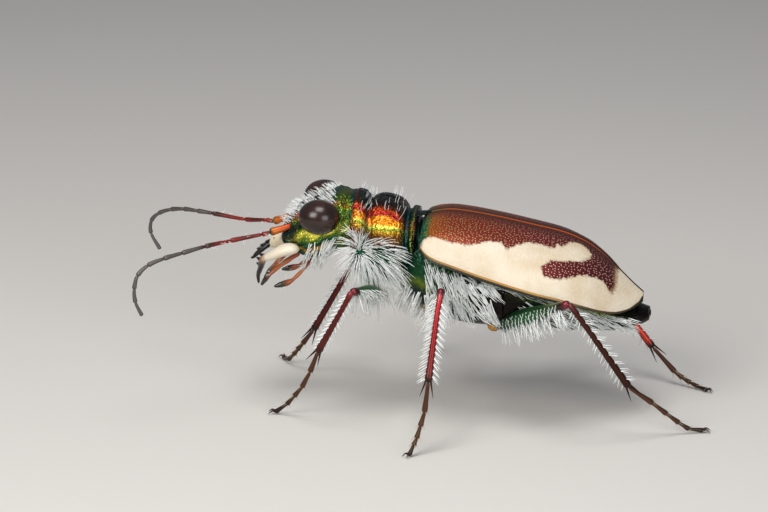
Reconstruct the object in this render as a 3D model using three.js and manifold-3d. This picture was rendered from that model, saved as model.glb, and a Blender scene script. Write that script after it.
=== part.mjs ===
// A big sand tiger beetle standing alert, life size, a still model of the whole insect.
// Millimetres. X runs toward the tail, Y toward the beetle's right side, Z up, floor at zero.
import * as THREE from 'three';
import Module from 'manifold-3d';

const wasm = await Module();
wasm.setup();

// driving sizes
const GAP = 0.3;
const WING_WALL = 0.6;
const SEAM_HALF = 0.15;
const THIN = 0.26;
const LEG_SIDES = 7;
const BODY_SIDES = 18;
const LOCK_WIDTH = 0.55;
const LOCK_TIP = 0.06;
const TOE_HEIGHT = 0.2;
const DOME_WIDTH = 0.62;
const DOME_DEPTH = 0.45;
const OPEN_BELOW = 8;
const FACET_TOLERANCE = 0.02;
const FAR = 40;

// body stations along X: half width, top and bottom heights, roundness of the section
const WING = [
  { x: 0.15, w: 2.25, top: 8.62, low: 7.75, n: 2.1 },
  { x: 0.35, w: 2.6, top: 8.74, low: 7.5, n: 2.1 },
  { x: 0.8, w: 2.85, top: 8.87, low: 7.3, n: 2.1 },
  { x: 1.5, w: 3.0, top: 8.92, low: 7.1, n: 2.05 },
  { x: 3.0, w: 3.2, top: 8.72, low: 6.66, n: 2.0 },
  { x: 5.0, w: 3.3, top: 8.32, low: 6.12, n: 1.95 },
  { x: 6.2, w: 3.22, top: 8.05, low: 5.86, n: 1.85 },
  { x: 7.2, w: 2.92, top: 7.64, low: 5.52, n: 1.75 },
  { x: 8.0, w: 2.42, top: 7.06, low: 5.2, n: 1.65 },
  { x: 8.6, w: 1.92, top: 6.44, low: 5.03, n: 1.6 },
  { x: 9.2, w: 1.2, top: 5.84, low: 5.03, n: 1.6 },
  { x: 9.65, w: 0.5, top: 5.44, low: 5.1, n: 1.8 },
];
const HEAD = [
  { x: -6.0, w: 0.8, top: 8.0, low: 7.35, n: 2.4 },
  { x: -5.7, w: 1.05, top: 8.4, low: 7.0, n: 2.4 },
  { x: -5.3, w: 1.25, top: 8.85, low: 6.8, n: 2.4 },
  { x: -4.8, w: 1.42, top: 9.2, low: 6.65, n: 2.4 },
  { x: -4.2, w: 1.5, top: 9.5, low: 6.7, n: 2.4 },
  { x: -3.7, w: 1.5, top: 9.66, low: 6.95, n: 2.4 },
  { x: -3.2, w: 1.45, top: 9.6, low: 7.15, n: 2.3 },
];
const PROTHORAX = [
  { x: -2.9, w: 1.7, top: 9.45, low: 6.5, n: 2.3 },
  { x: -2.6, w: 1.86, top: 9.56, low: 6.1, n: 2.3 },
  { x: -2.2, w: 1.82, top: 9.36, low: 5.8, n: 2.3 },
  { x: -1.6, w: 1.98, top: 9.43, low: 5.65, n: 2.3 },
  { x: -0.9, w: 1.98, top: 9.22, low: 5.75, n: 2.3 },
  { x: -0.45, w: 1.82, top: 8.9, low: 6.3, n: 2.3 },
  { x: -0.15, w: 1.88, top: 8.78, low: 6.9, n: 2.3 },
];
const TRUNK = [
  { x: -0.85, w: 1.3, top: 6.6, low: 5.4, n: 2.2 },
  { x: -0.4, w: 1.75, top: 7.4, low: 5.0, n: 2.2 },
  { x: 0.2, w: 2.1, top: 8.2, low: 4.6, n: 2.2 },
  { x: 1.0, w: 2.4, top: 8.8, low: 4.25, n: 2.3 },
  { x: 2.2, w: 2.55, top: 8.8, low: 4.0, n: 2.3 },
  { x: 3.6, w: 2.6, top: 8.6, low: 3.95, n: 2.3 },
  { x: 5.2, w: 2.6, top: 8.1, low: 3.9, n: 2.2 },
  { x: 6.6, w: 2.45, top: 7.5, low: 3.85, n: 2.2 },
  { x: 7.8, w: 2.0, top: 6.5, low: 3.8, n: 2.1 },
  { x: 8.8, w: 1.45, top: 5.7, low: 3.85, n: 2.1 },
  { x: 9.5, w: 0.9, top: 5.1, low: 4.0, n: 2.0 },
  { x: 9.95, w: 0.45, top: 4.75, low: 4.3, n: 2.0 },
];
const MESO_END = 1.2;
const META_END = 3.7;

// a smooth value read from the stations at x
function along(stations, key, x) {
  const last = stations.length - 1;
  let i = 0;
  while (i < last - 1 && x > stations[i + 1].x) i += 1;
  const a = stations[i];
  const b = stations[i + 1];
  const before = stations[Math.max(i - 1, 0)];
  const after = stations[Math.min(i + 2, last)];
  const span = b.x - a.x;
  const t = Math.min(Math.max((x - a.x) / span, 0), 1);
  const rise = (b[key] - before[key]) / (b.x - before.x) * span;
  const fall = (after[key] - a[key]) / (after.x - a.x) * span;
  const t2 = t * t;
  const t3 = t2 * t;
  return a[key] * (2 * t3 - 3 * t2 + 1) + rise * (t3 - 2 * t2 + t)
    + b[key] * (3 * t2 - 2 * t3) + fall * (t3 - t2);
}

// a closed solid from rings of equal count, the ends closed on their centres
function solidOfRings(rings) {
  const count = rings[0].length;
  const points = [];
  rings.forEach((ring) => ring.forEach((p) => points.push(p)));
  const middle = (ring) => {
    const sum = [0, 0, 0];
    ring.forEach((p) => [0, 1, 2].forEach((k) => { sum[k] += p[k] / count; }));
    return sum;
  };
  const start = points.push(middle(rings[0])) - 1;
  const finish = points.push(middle(rings[rings.length - 1])) - 1;
  const faces = [];
  for (let r = 0; r < rings.length - 1; r += 1) {
    for (let k = 0; k < count; k += 1) {
      const a = r * count + k;
      const b = r * count + (k + 1) % count;
      faces.push([a, b, b + count], [a, b + count, a + count]);
    }
  }
  const tail = (rings.length - 1) * count;
  for (let k = 0; k < count; k += 1) {
    faces.push([start, (k + 1) % count, k]);
    faces.push([finish, tail + k, tail + (k + 1) % count]);
  }
  return solidOfFaces(points, faces);
}

function solidOfFaces(points, faces) {
  let volume = 0;
  faces.forEach(([a, b, c]) => {
    const p = points[a];
    const q = points[b];
    const s = points[c];
    volume += p[0] * (q[1] * s[2] - q[2] * s[1]) - p[1] * (q[0] * s[2] - q[2] * s[0])
      + p[2] * (q[0] * s[1] - q[1] * s[0]);
  });
  const turned = volume < 0 ? faces.map(([a, b, c]) => [a, c, b]) : faces;
  const mesh = new wasm.Mesh({
    numProp: 3,
    vertProperties: new Float32Array(points.flat()),
    triVerts: new Uint32Array(turned.flat()),
  });
  return new wasm.Manifold(mesh);
}

// a rounded body swept along X through the stations, grown outward when asked
function loft(stations, step, grow = 0) {
  const x0 = stations[0].x - grow;
  const x1 = stations[stations.length - 1].x + grow;
  const count = Math.max(2, Math.ceil((x1 - x0) / step));
  const rings = [];
  for (let i = 0; i <= count; i += 1) {
    const x = x0 + (x1 - x0) * i / count;
    const inset = (i === 0 || i === count) ? 0.9 : 1;
    const top = along(stations, 'top', x) + grow;
    const low = along(stations, 'low', x) - grow;
    const wide = (along(stations, 'w', x) + grow) * inset;
    const power = 2 / along(stations, 'n', x);
    const middle = (top + low) / 2;
    const high = (top - low) / 2 * inset;
    const ring = [];
    for (let k = 0; k < BODY_SIDES; k += 1) {
      const angle = (k + 0.5) * 2 * Math.PI / BODY_SIDES;
      const c = Math.cos(angle);
      const s = Math.sin(angle);
      const y = wide * Math.sign(c) * Math.abs(c) ** power;
      ring.push([x, y, middle + high * Math.sign(s) * Math.abs(s) ** power]);
    }
    rings.push(ring);
  }
  return solidOfRings(rings);
}

// the vault under the wing cases, shrunk by inset, its floor dropped by depth
function vault(inset, depth) {
  const steps = 16;
  const arc = 11;
  const first = WING[0].x - (inset > 0 ? 1.5 : 0);
  const last = WING[WING.length - 1].x - inset * 0.6;
  const rings = [];
  for (let i = 0; i <= steps; i += 1) {
    const x = first + (last - first) * i / steps;
    const wide = Math.max(along(WING, 'w', x) - inset, 0.12);
    const low = along(WING, 'low', x);
    const high = Math.max(along(WING, 'top', x) - inset - low, 0.12);
    const power = 2 / along(WING, 'n', x);
    const ring = [];
    for (let k = 0; k <= arc; k += 1) {
      const angle = k * Math.PI / arc;
      const c = Math.cos(angle);
      ring.push([x, wide * Math.sign(c) * Math.abs(c) ** power, low + high * Math.sin(angle) ** power]);
    }
    ring.push([x, -wide, low - depth], [x, 0, low - depth - 0.05], [x, wide, low - depth]);
    rings.push(ring);
  }
  return solidOfRings(rings);
}

// a round limb through the points, radii listed at the points, the ends domed
function limb(points, radii, { grow = 0, sides = LEG_SIDES, step = 0.8 } = {}) {
  const knots = points.map((p) => new THREE.Vector3(...p));
  const path = new THREE.CatmullRomCurve3(knots, false, 'centripetal');
  const total = path.getLength();
  const rows = Math.max(2, Math.round(total / step));
  const marks = [];
  for (let i = 0; i <= rows; i += 1) marks.push(i / rows);
  const domed = [];
  marks.forEach((u, i) => {
    const slot = path.getUtoTmapping(u) * (points.length - 1);
    const low = Math.min(Math.floor(slot), points.length - 2);
    const radius = radii[low] + (radii[low + 1] - radii[low]) * (slot - low) + grow;
    const centre = path.getPointAt(u);
    const heading = path.getTangentAt(u);
    const moved = (shift) => centre.clone().addScaledVector(heading, shift);
    if (i === 0) {
      domed.push({ centre: moved(-grow), heading, radius: radius * DOME_WIDTH });
      domed.push({ centre: moved(-grow + radius * DOME_DEPTH), heading, radius });
    } else if (i === rows) {
      domed.push({ centre: moved(grow - radius * DOME_DEPTH), heading, radius });
      domed.push({ centre: moved(grow), heading, radius: radius * DOME_WIDTH });
    } else {
      domed.push({ centre, heading, radius });
    }
  });
  return rope(domed, sides);
}

// a closed solid through rows that each have a centre, a heading and a radius
function rope(rows, sides) {
  let side = new THREE.Vector3(0, 0, 1).cross(rows[0].heading);
  if (side.lengthSq() < 0.01) side = new THREE.Vector3(1, 0, 0);
  const rings = rows.map(({ centre, heading, radius }) => {
    side.addScaledVector(heading, -side.dot(heading)).normalize();
    const up = heading.clone().cross(side).normalize();
    const ring = [];
    for (let k = 0; k < sides; k += 1) {
      const angle = (k + 0.5) * 2 * Math.PI / sides;
      const p = centre.clone().addScaledVector(side, Math.cos(angle) * radius)
        .addScaledVector(up, Math.sin(angle) * radius);
      ring.push([p.x, p.y, p.z]);
    }
    return ring;
  });
  return solidOfRings(rings);
}

// a pointed spur or claw
const SPUR_RADIUS = 0.2;
const SPUR_TIP = 0.05;
const SPUR_SIDES = 5;
function spur(root, tip) {
  const a = new THREE.Vector3(...root);
  const b = new THREE.Vector3(...tip);
  const heading = b.clone().sub(a).normalize();
  return rope([
    { centre: a, heading, radius: SPUR_RADIUS },
    { centre: a.clone().lerp(b, 0.55), heading, radius: SPUR_RADIUS * 0.6 },
    { centre: b, heading, radius: SPUR_TIP },
  ], SPUR_SIDES);
}

function ball(centre, radii, grow = 0) {
  return wasm.Manifold.sphere(1, 16)
    .scale([radii[0] + grow, radii[1] + grow, radii[2] + grow])
    .translate(centre);
}

function block(min, max) {
  return wasm.Manifold.cube([max[0] - min[0], max[1] - min[1], max[2] - min[2]]).translate(min);
}

const mirrored = (p) => [p[0], -p[1], p[2]];
const lerp = (a, b, t) => a.map((v, k) => v + (b[k] - v) * t);
const onCurve = (points, t) => {
  const slot = t * (points.length - 1);
  const low = Math.min(Math.floor(slot), points.length - 2);
  return lerp(points[low], points[low + 1], slot - low);
};

let seed = 7;
function random() {
  seed = (seed * 1103515245 + 12345) % 2147483648;
  return seed / 2147483648;
}

// a coat of separate flat tapered locks from a row of roots to a row of tips, bowed along the lie
const LOCK_ROWS = [0, 0.4, 0.75, 1];
const LOCK_RADII = [LOCK_WIDTH / 2, LOCK_WIDTH / 2, LOCK_WIDTH * 0.32, LOCK_TIP];
function coat(roots, tips, bow, locks) {
  const solids = [];
  const bend = new THREE.Vector3(...bow);
  for (let i = 0; i < locks; i += 1) {
    const t = Math.min(Math.max((i + 0.5 + (random() - 0.5) * 0.5) / locks, 0), 1);
    const lean = Math.min(Math.max(t + (random() - 0.5) * 0.08, 0), 1);
    const root = new THREE.Vector3(...onCurve(roots, t));
    const full = new THREE.Vector3(...onCurve(tips, lean));
    const tip = root.clone().lerp(full, 0.86 + 0.14 * random());
    const rows = LOCK_ROWS.map((s, k) => {
      const centre = root.clone().lerp(tip, s);
      centre.addScaledVector(bend, 4 * s * (1 - s) * (0.7 + 0.6 * random()));
      return { centre, radius: LOCK_RADII[k] };
    });
    rows.forEach((row, k) => {
      const a = rows[Math.max(k - 1, 0)].centre;
      const b = rows[Math.min(k + 1, rows.length - 1)].centre;
      row.heading = b.clone().sub(a).normalize();
    });
    solids.push(rope(rows, 4));
  }
  return solids;
}

const join = (solid, list) => list.reduce((sum, extra) => sum.add(extra), solid);
const carve = (solid, list) => list.reduce((sum, cut) => sum.subtract(cut), solid);
const both = (list) => list.flatMap((solid) => [solid, solid.mirror([0, 1, 0])]);

// legs: the points run down each limb
const LEGS = {
  fore_left: {
    coxa: [[-1.75, -0.75, 6.0], [-1.62, -1.05, 5.42]], coxaRadii: [0.62, 0.48],
    femur: [[-1.6, -1.55, 5.25], [-2.05, -2.9, 5.95], [-2.56, -4.1, 6.33]],
    tibia: [[-2.56, -4.1, 6.33], [-2.88, -4.0, 5.7], [-4.14, -3.3, 3.28]],
    tarsus: [[-4.14, -3.3, 3.28], [-4.35, -3.1, 2.63], [-4.89, -2.75, 1.5],
      [-5.6, -2.35, 0.55], [-6.12, -2.2, TOE_HEIGHT]],
    claws: [[-6.42, -2.4, 0.1], [-6.45, -1.95, 0.1]],
  },
  fore_right: {
    coxa: [[-1.75, 0.75, 6.0], [-1.62, 1.05, 5.42]], coxaRadii: [0.62, 0.48],
    femur: [[-1.6, 1.55, 5.25], [-2.5, 2.7, 5.5], [-3.5, 3.7, 5.1]],
    tibia: [[-3.5, 3.7, 5.1], [-3.76, 3.7, 4.52], [-5.2, 3.6, 1.95]],
    tarsus: [[-5.2, 3.6, 1.95], [-5.7, 3.8, 1.25], [-6.15, 4.2, 0.6],
      [-6.5, 4.7, TOE_HEIGHT], [-6.75, 5.15, TOE_HEIGHT]],
    claws: [[-7.0, 5.3, 0.1], [-6.75, 5.55, 0.1]],
  },
  mid_left: {
    coxa: [[0.45, -0.8, 5.1], [0.6, -1.15, 4.75]], coxaRadii: [0.62, 0.5],
    femur: [[0.75, -1.7, 4.75], [1.05, -3.3, 5.85], [1.32, -5.0, 6.76]],
    tibia: [[1.32, -5.0, 6.76], [1.2, -5.4, 5.9], [0.92, -6.4, 3.17]],
    tarsus: [[0.92, -6.4, 3.17], [0.78, -6.5, 1.89], [0.47, -6.7, 0.79], [0.2, -6.85, TOE_HEIGHT]],
    claws: [[-0.15, -7.0, 0.1], [0.1, -7.25, 0.1]],
  },
  mid_right: {
    coxa: [[0.45, 0.8, 5.1], [0.6, 1.15, 4.75]], coxaRadii: [0.62, 0.5],
    femur: [[0.75, 1.7, 4.75], [1.0, 3.3, 5.85], [1.2, 5.0, 6.6]],
    tibia: [[1.2, 5.0, 6.6], [1.0, 5.4, 5.7], [0.45, 6.4, 3.05]],
    tarsus: [[0.45, 6.4, 3.05], [0.28, 6.5, 1.9], [0.05, 6.65, 0.8], [-0.1, 6.8, TOE_HEIGHT]],
    claws: [[-0.45, 6.95, 0.1], [-0.15, 7.2, 0.1]],
  },
  hind_left: {
    coxa: [[2.7, -0.8, 4.7], [3.1, -1.1, 4.4]], coxaRadii: [0.6, 0.5],
    femur: [[3.6, -1.75, 4.2], [5.2, -3.3, 5.35], [6.69, -4.8, 6.33]],
    tibia: [[6.69, -4.8, 6.33], [7.2, -4.65, 5.6], [9.26, -4.0, 2.43]],
    tarsus: [[9.26, -4.0, 2.43], [10.25, -3.5, 1.59], [11.37, -2.95, 0.5],
      [12.08, -2.68, TOE_HEIGHT], [12.4, -2.6, TOE_HEIGHT]],
    claws: [[12.72, -2.8, 0.1], [12.74, -2.4, 0.1]],
  },
  hind_right: {
    coxa: [[2.7, 0.8, 4.7], [3.1, 1.1, 4.4]], coxaRadii: [0.6, 0.5],
    femur: [[3.6, 1.75, 4.2], [5.3, 3.3, 4.85], [7.04, 4.9, 5.1]],
    tibia: [[7.04, 4.9, 5.1], [7.5, 4.75, 4.5], [10.0, 4.0, 1.55]],
    tarsus: [[10.0, 4.0, 1.55], [11.02, 3.5, 0.6], [11.6, 3.2, 0.3],
      [12.2, 2.85, TOE_HEIGHT], [12.45, 2.65, TOE_HEIGHT]],
    claws: [[12.7, 2.68, 0.1], [12.66, 2.4, 0.1]],
  },
};
const FEMUR_RADII = [0.33, 0.42, 0.3];
const TIBIA_RADII = [THIN, THIN, 0.3];
const TARSUS_RADIUS = 0.26;
const SPUR_LENGTH = 0.8;
const SPUR_RUN = 0.85;
const SPUR_SPLAY = 0.75;

// the whole path of a limb segment, pulled back at both ends by half the gap
function pulled(points, start, end) {
  const a = new THREE.Vector3(...points[0]);
  const b = new THREE.Vector3(...points[1]);
  const y = new THREE.Vector3(...points[points.length - 2]);
  const z = new THREE.Vector3(...points[points.length - 1]);
  const first = a.lerp(b, Math.min(start / a.distanceTo(b), 0.9));
  const last = z.lerp(y, Math.min(end / z.distanceTo(y), 0.9));
  return [[first.x, first.y, first.z], ...points.slice(1, -1), [last.x, last.y, last.z]];
}

const legSolids = {};
Object.entries(LEGS).forEach(([leg, parts]) => {
  const tarsusPath = pulled(parts.tarsus, GAP / 2, 0);
  const tibiaPath = pulled(parts.tibia, GAP / 2, GAP / 2);
  const femurPath = pulled(parts.femur, 0, GAP / 2);
  const footRadii = tarsusPath.map(() => TARSUS_RADIUS);
  const tibiaGrown = limb(tibiaPath, TIBIA_RADII, { grow: GAP });
  const femurGrown = limb(femurPath, FEMUR_RADII, { grow: GAP });
  const coxaGrown = limb(parts.coxa, parts.coxaRadii, { grow: GAP });
  const foot = tarsusPath[tarsusPath.length - 1];
  const claws = parts.claws.map((tip) => spur(foot, tip));
  const tarsusGrown = limb(tarsusPath, footRadii, { grow: GAP });
  const ankle = parts.tibia[2];
  const heel = parts.tibia[1];
  const run = new THREE.Vector3(...ankle).sub(new THREE.Vector3(...heel)).normalize();
  const fork = new THREE.Vector3(0, 1, 0).cross(run).normalize();
  const root = new THREE.Vector3(...tibiaPath[2]).addScaledVector(run, -0.25);
  const spurs = [-1, 1].map((side) => {
    const from = root.clone().addScaledVector(fork, side * 0.12);
    const to = from.clone().addScaledVector(run, SPUR_LENGTH * SPUR_RUN)
      .addScaledVector(fork, side * SPUR_LENGTH * SPUR_SPLAY);
    return spur([from.x, from.y, from.z], [to.x, to.y, to.z]);
  });
  legSolids[leg] = {
    tarsus: join(limb(tarsusPath, footRadii), claws),
    tibia: carve(join(limb(tibiaPath, TIBIA_RADII), spurs), [tarsusGrown]),
    femur: carve(limb(femurPath, FEMUR_RADII, { sides: 8 }), [tibiaGrown]),
    coxa: carve(limb(parts.coxa, parts.coxaRadii, { sides: 9, step: 0.5 }), [femurGrown]),
    femurGrown,
    coxaGrown,
    tibiaGrown,
  };
});
const allCoxaeGrown = Object.values(legSolids).map((leg) => leg.coxaGrown);
const allFemoraGrown = Object.values(legSolids).map((leg) => leg.femurGrown);

// head, eyes and mouth
const EYE_CENTRE = [-4.28, -1.5, 8.9];
const EYE_RADII = [0.93, 0.82, 0.72];
const EYE_BACK = -1.15;
const eyeBall = (grow) => ball(EYE_CENTRE, EYE_RADII, grow)
  .subtract(block([-FAR, EYE_BACK + grow, -FAR], [FAR, FAR, FAR]));
const eyeLeft = eyeBall(0);

const MANDIBLE_LEFT = [
  [-5.35, -1.35, 7.38], [-6.05, -1.38, 7.12], [-6.72, -1.0, 6.74], [-6.98, -0.5, 6.1], [-7.08, -0.25, 5.35]];
const MANDIBLE_RIGHT = [
  [-5.35, 1.35, 7.38], [-6.05, 1.38, 7.12], [-6.85, 1.05, 6.75], [-7.3, 0.55, 6.45], [-7.4, 0.1, 6.3]];
const MANDIBLE_RADII = [0.4, 0.34, 0.27, 0.2, 0.1];
const mandible = (path, grow) => limb(path, MANDIBLE_RADII, { grow, sides: 8, step: 0.35 });
const MAXILLARY = [
  [-5.2, -0.85, 6.85], [-5.87, -0.8, 6.42], [-6.35, -0.65, 5.95], [-6.75, -0.55, 5.5], [-6.92, -0.5, 5.2]];
const MAXILLARY_RADII = [0.26, 0.25, 0.25, 0.25, 0.15];
const LABIAL = [[-4.75, -0.55, 6.35], [-5.1, -0.85, 5.95], [-5.45, -1.1, 5.6], [-6.2, -1.3, 5.4]];
const LABIAL_RADII = [0.26, 0.25, 0.27, 0.16];
const palp = (path, radii, grow) => limb(path, radii, { grow, step: 0.45 });

const LABRUM = [
  { x: -6.78, w: 0.6, top: 7.2, low: 6.9, n: 3 },
  { x: -6.55, w: 0.85, top: 7.45, low: 6.93, n: 3 },
  { x: -6.3, w: 0.9, top: 7.68, low: 7.12, n: 3 },
];
const labrum = loft(LABRUM, 0.2);

const ANTENNA_LEFT = [
  [-5.68, -0.9, 8.15], [-6.43, -1.2, 7.96], [-6.76, -1.35, 7.9], [-8.05, -2.0, 7.77], [-9.05, -2.7, 7.69],
  [-9.95, -3.3, 7.55], [-10.67, -3.8, 7.43], [-11.28, -4.2, 7.23], [-11.69, -4.4, 6.83], [-11.83, -4.5, 6.26],
  [-11.79, -4.5, 5.67], [-11.54, -4.4, 5.05]];
const ANTENNA_RIGHT = [
  [-5.87, 0.9, 8.23], [-6.58, 1.2, 7.75], [-6.91, 1.35, 7.73], [-8.02, 2.2, 7.48], [-9.58, 2.9, 7.5],
  [-10.3, 3.2, 7.5], [-10.95, 3.55, 7.46], [-11.6, 3.95, 7.3], [-12.2, 4.2, 7.03], [-12.58, 4.4, 6.6],
  [-12.62, 4.5, 6.0], [-12.21, 4.4, 5.29]];
const ANTENNA_SPLITS = [['scape', 0, 1], ['base', 1, 4], ['middle', 4, 8], ['tip', 8, 11]];
const SCAPE_RADIUS = 0.28;
const ANTENNA_TIP = 0.12;
function antenna(path) {
  const pieces = {};
  ANTENNA_SPLITS.forEach(([name, from, to]) => {
    const points = path.slice(from, to + 1);
    const start = name === 'scape' ? 0 : GAP / 2;
    const end = name === 'tip' ? 0 : GAP / 2;
    const radii = points.map(() => (name === 'scape' ? SCAPE_RADIUS : THIN));
    if (name === 'tip') radii[radii.length - 1] = ANTENNA_TIP;
    pieces[name] = limb(pulled(points, start, end), radii, { step: 0.5 });
  });
  return pieces;
}
const scapeGrown = (path) => limb([path[0], path[1]], [SCAPE_RADIUS, SCAPE_RADIUS], { grow: GAP });

// coat rows for the left side
const GENA_ROOTS = [[-3.55, -1.1, 7.45], [-4.2, -1.1, 7.25], [-4.85, -1.0, 7.1]];
const GENA_TIPS = [[-3.95, -1.75, 6.75], [-4.55, -1.7, 6.45], [-5.0, -1.25, 6.35]];
const CHIN_ROOTS = [[-3.7, -0.6, 7.2], [-4.3, -0.6, 7.0]];
const CHIN_TIPS = [[-4.0, -0.75, 6.05], [-4.55, -0.8, 5.95]];
const BROW_ROOTS = [[-5.35, -0.55, 8.5], [-4.9, -0.55, 8.8], [-4.3, -0.5, 9.1], [-3.75, -0.45, 9.25]];
const BROW_TIPS = [[-5.75, -0.8, 8.95], [-5.2, -0.75, 9.4], [-4.4, -0.65, 9.72], [-3.8, -0.6, 9.98]];
const WHORL_ROOTS = [[-2.6, -1.5, 7.6], [-2.35, -1.5, 7.3], [-2.0, -1.45, 7.2], [-1.7, -1.4, 7.3]];
const WHORL_TIPS = [[-2.95, -2.3, 6.45], [-2.55, -2.4, 6.0], [-2.0, -2.4, 5.85], [-1.25, -2.2, 6.15]];
const SIDE_ROOTS = [[0.3, -1.8, 6.5], [1.0, -2.0, 6.4], [2.2, -2.15, 6.1], [3.3, -2.2, 5.9]];
const SIDE_TIPS = [[0.1, -2.55, 5.1], [1.1, -2.8, 4.65], [2.7, -2.9, 4.4], [3.7, -2.75, 4.5]];
const COLLAR_ROOTS = [[-0.55, -1.2, 6.4], [-0.25, -1.3, 6.4]];
const COLLAR_TIPS = [[-0.75, -2.1, 5.2], [-0.25, -2.2, 5.0]];
const BELLY_ROOTS = [[4.3, -2.1, 5.4], [5.6, -2.1, 5.2], [7.0, -1.8, 4.9]];
const BELLY_TIPS = [[5.4, -2.75, 4.6], [6.8, -2.65, 4.45], [8.2, -2.05, 4.3]];

// the fringe hanging under a femur
const FRINGE_MARKS = [0.22, 0.5, 0.8];
function fringe(leg, drop, locks) {
  const path = LEGS[leg].femur;
  const roots = FRINGE_MARKS.map((t) => onCurve(path, t));
  const tips = roots.map((root) => root.map((v, k) => v + drop[k]));
  return coat(roots, tips, [0, 0, 0], locks);
}
const FRINGES = {
  fore_left: [[-0.1, 0.1, -1.35], 5], fore_right: [[-0.1, -0.1, -1.35], 5],
  mid_left: [[-0.35, 0.1, -1.3], 6], mid_right: [[-0.35, -0.1, -1.3], 6],
  hind_left: [[0.25, 0.15, -1.05], 7], hind_right: [[0.25, -0.15, -1.05], 7],
};
Object.entries(FRINGES).forEach(([leg, [drop, locks]]) => {
  const own = legSolids[leg];
  own.femur = carve(join(own.femur, fringe(leg, drop, locks)), [own.tibiaGrown, own.coxaGrown]);
});

// trunk pieces meet the wing cases from below and the legs from above
const TAIL_START = 8.6;
const tailRim = along(WING, 'low', TAIL_START);
const underWings = vault(WING_WALL + GAP, OPEN_BELOW);
const wingBase = block([-FAR, -FAR, -FAR], [WING[0].x + 0.1, FAR, FAR]);
const underTail = block([TAIL_START, -FAR, -FAR], [FAR, FAR, tailRim - GAP - 0.02]);
const trunkRoom = underWings.add(wingBase).add(underTail);
const prothoraxGrown = loft(PROTHORAX, 0.35, GAP);
const bodySolid = loft(TRUNK, 0.6).intersect(trunkRoom);
const slab = (from, to) => block([from, -FAR, -FAR], [to, FAR, FAR]);
const mesoSlab = slab(-FAR, MESO_END - GAP / 2);
const metaSlab = slab(MESO_END + GAP / 2, META_END - GAP / 2);
const abdomenSlab = slab(META_END + GAP / 2, FAR);
const headGrown = loft(HEAD, 0.5, GAP);

const whorls = both(coat(WHORL_ROOTS, WHORL_TIPS, [0, -0.15, 0], 8));
const collars = both(coat(COLLAR_ROOTS, COLLAR_TIPS, [0, -0.1, 0], 4));
const sides = both(coat(SIDE_ROOTS, SIDE_TIPS, [0, -0.15, 0], 10));
const bellies = both(coat(BELLY_ROOTS, BELLY_TIPS, [0, -0.1, 0], 7));
const genae = both(coat(GENA_ROOTS, GENA_TIPS, [0, -0.1, 0], 6));
const chins = both(coat(CHIN_ROOTS, CHIN_TIPS, [0, 0, 0], 3));
const brows = both(coat(BROW_ROOTS, BROW_TIPS, [0, 0, 0.05], 5));

const clearLegs = [...allCoxaeGrown, ...allFemoraGrown];
const wingGuard = vault(-GAP, GAP).subtract(vault(WING_WALL + GAP - 0.02, OPEN_BELOW));
const mouthGrown = [
  mandible(MANDIBLE_LEFT, GAP), mandible(MANDIBLE_RIGHT, GAP),
  palp(MAXILLARY, MAXILLARY_RADII, GAP), palp(MAXILLARY.map(mirrored), MAXILLARY_RADII, GAP),
  palp(LABIAL, LABIAL_RADII, GAP), palp(LABIAL.map(mirrored), LABIAL_RADII, GAP),
  scapeGrown(ANTENNA_LEFT), scapeGrown(ANTENNA_RIGHT), ...both([eyeBall(GAP)]),
];

const headSolid = carve(join(loft(HEAD, 0.4), [...genae, ...chins, ...brows]), mouthGrown);
const prothoraxSolid = carve(join(loft(PROTHORAX, 0.35), whorls), [...clearLegs, headGrown]);
const trunkSection = (room, locks, near) => carve(
  join(bodySolid.intersect(room), locks.map((lock) => lock.intersect(room))),
  [...clearLegs, ...near, wingGuard]);
const mesoSolid = trunkSection(mesoSlab, collars, [prothoraxGrown]);
const metaSolid = trunkSection(metaSlab, sides, []);
const abdomenSolid = trunkSection(abdomenSlab, bellies, []);
const cases = vault(0, 0).subtract(vault(WING_WALL, OPEN_BELOW));
const wingLeft = cases.intersect(block([-FAR, -FAR, -FAR], [FAR, -SEAM_HALF, FAR]));

// every node goes into the group under its own name
const group = new THREE.Group();
group.name = 'tiger_beetle';
function largest(solid) {
  const parts = solid.decompose();
  return parts.reduce((best, part) => (part.volume() > best.volume() ? part : best), parts[0]);
}
function put(name, solid, colour, roughness, metalness) {
  const cleared = solid.intersect(block([-FAR, -FAR, 0], [FAR, FAR, FAR])).simplify(FACET_TOLERANCE);
  const mesh = largest(cleared).getMesh();
  const geometry = new THREE.BufferGeometry();
  geometry.setAttribute('position', new THREE.BufferAttribute(new Float32Array(mesh.vertProperties), 3));
  geometry.setIndex(new THREE.BufferAttribute(new Uint32Array(mesh.triVerts), 1));
  geometry.computeVertexNormals();
  const material = new THREE.MeshStandardMaterial({ color: colour, roughness, metalness });
  const item = new THREE.Mesh(geometry, material);
  item.name = name;
  group.add(item);
}

const GREEN = 0x1f5a3a;
const COPPER = 0x9a4a25;
const MAROON = 0x55231f;
const IVORY = 0xe9dcc0;
const DARK = 0x2a2420;

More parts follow.
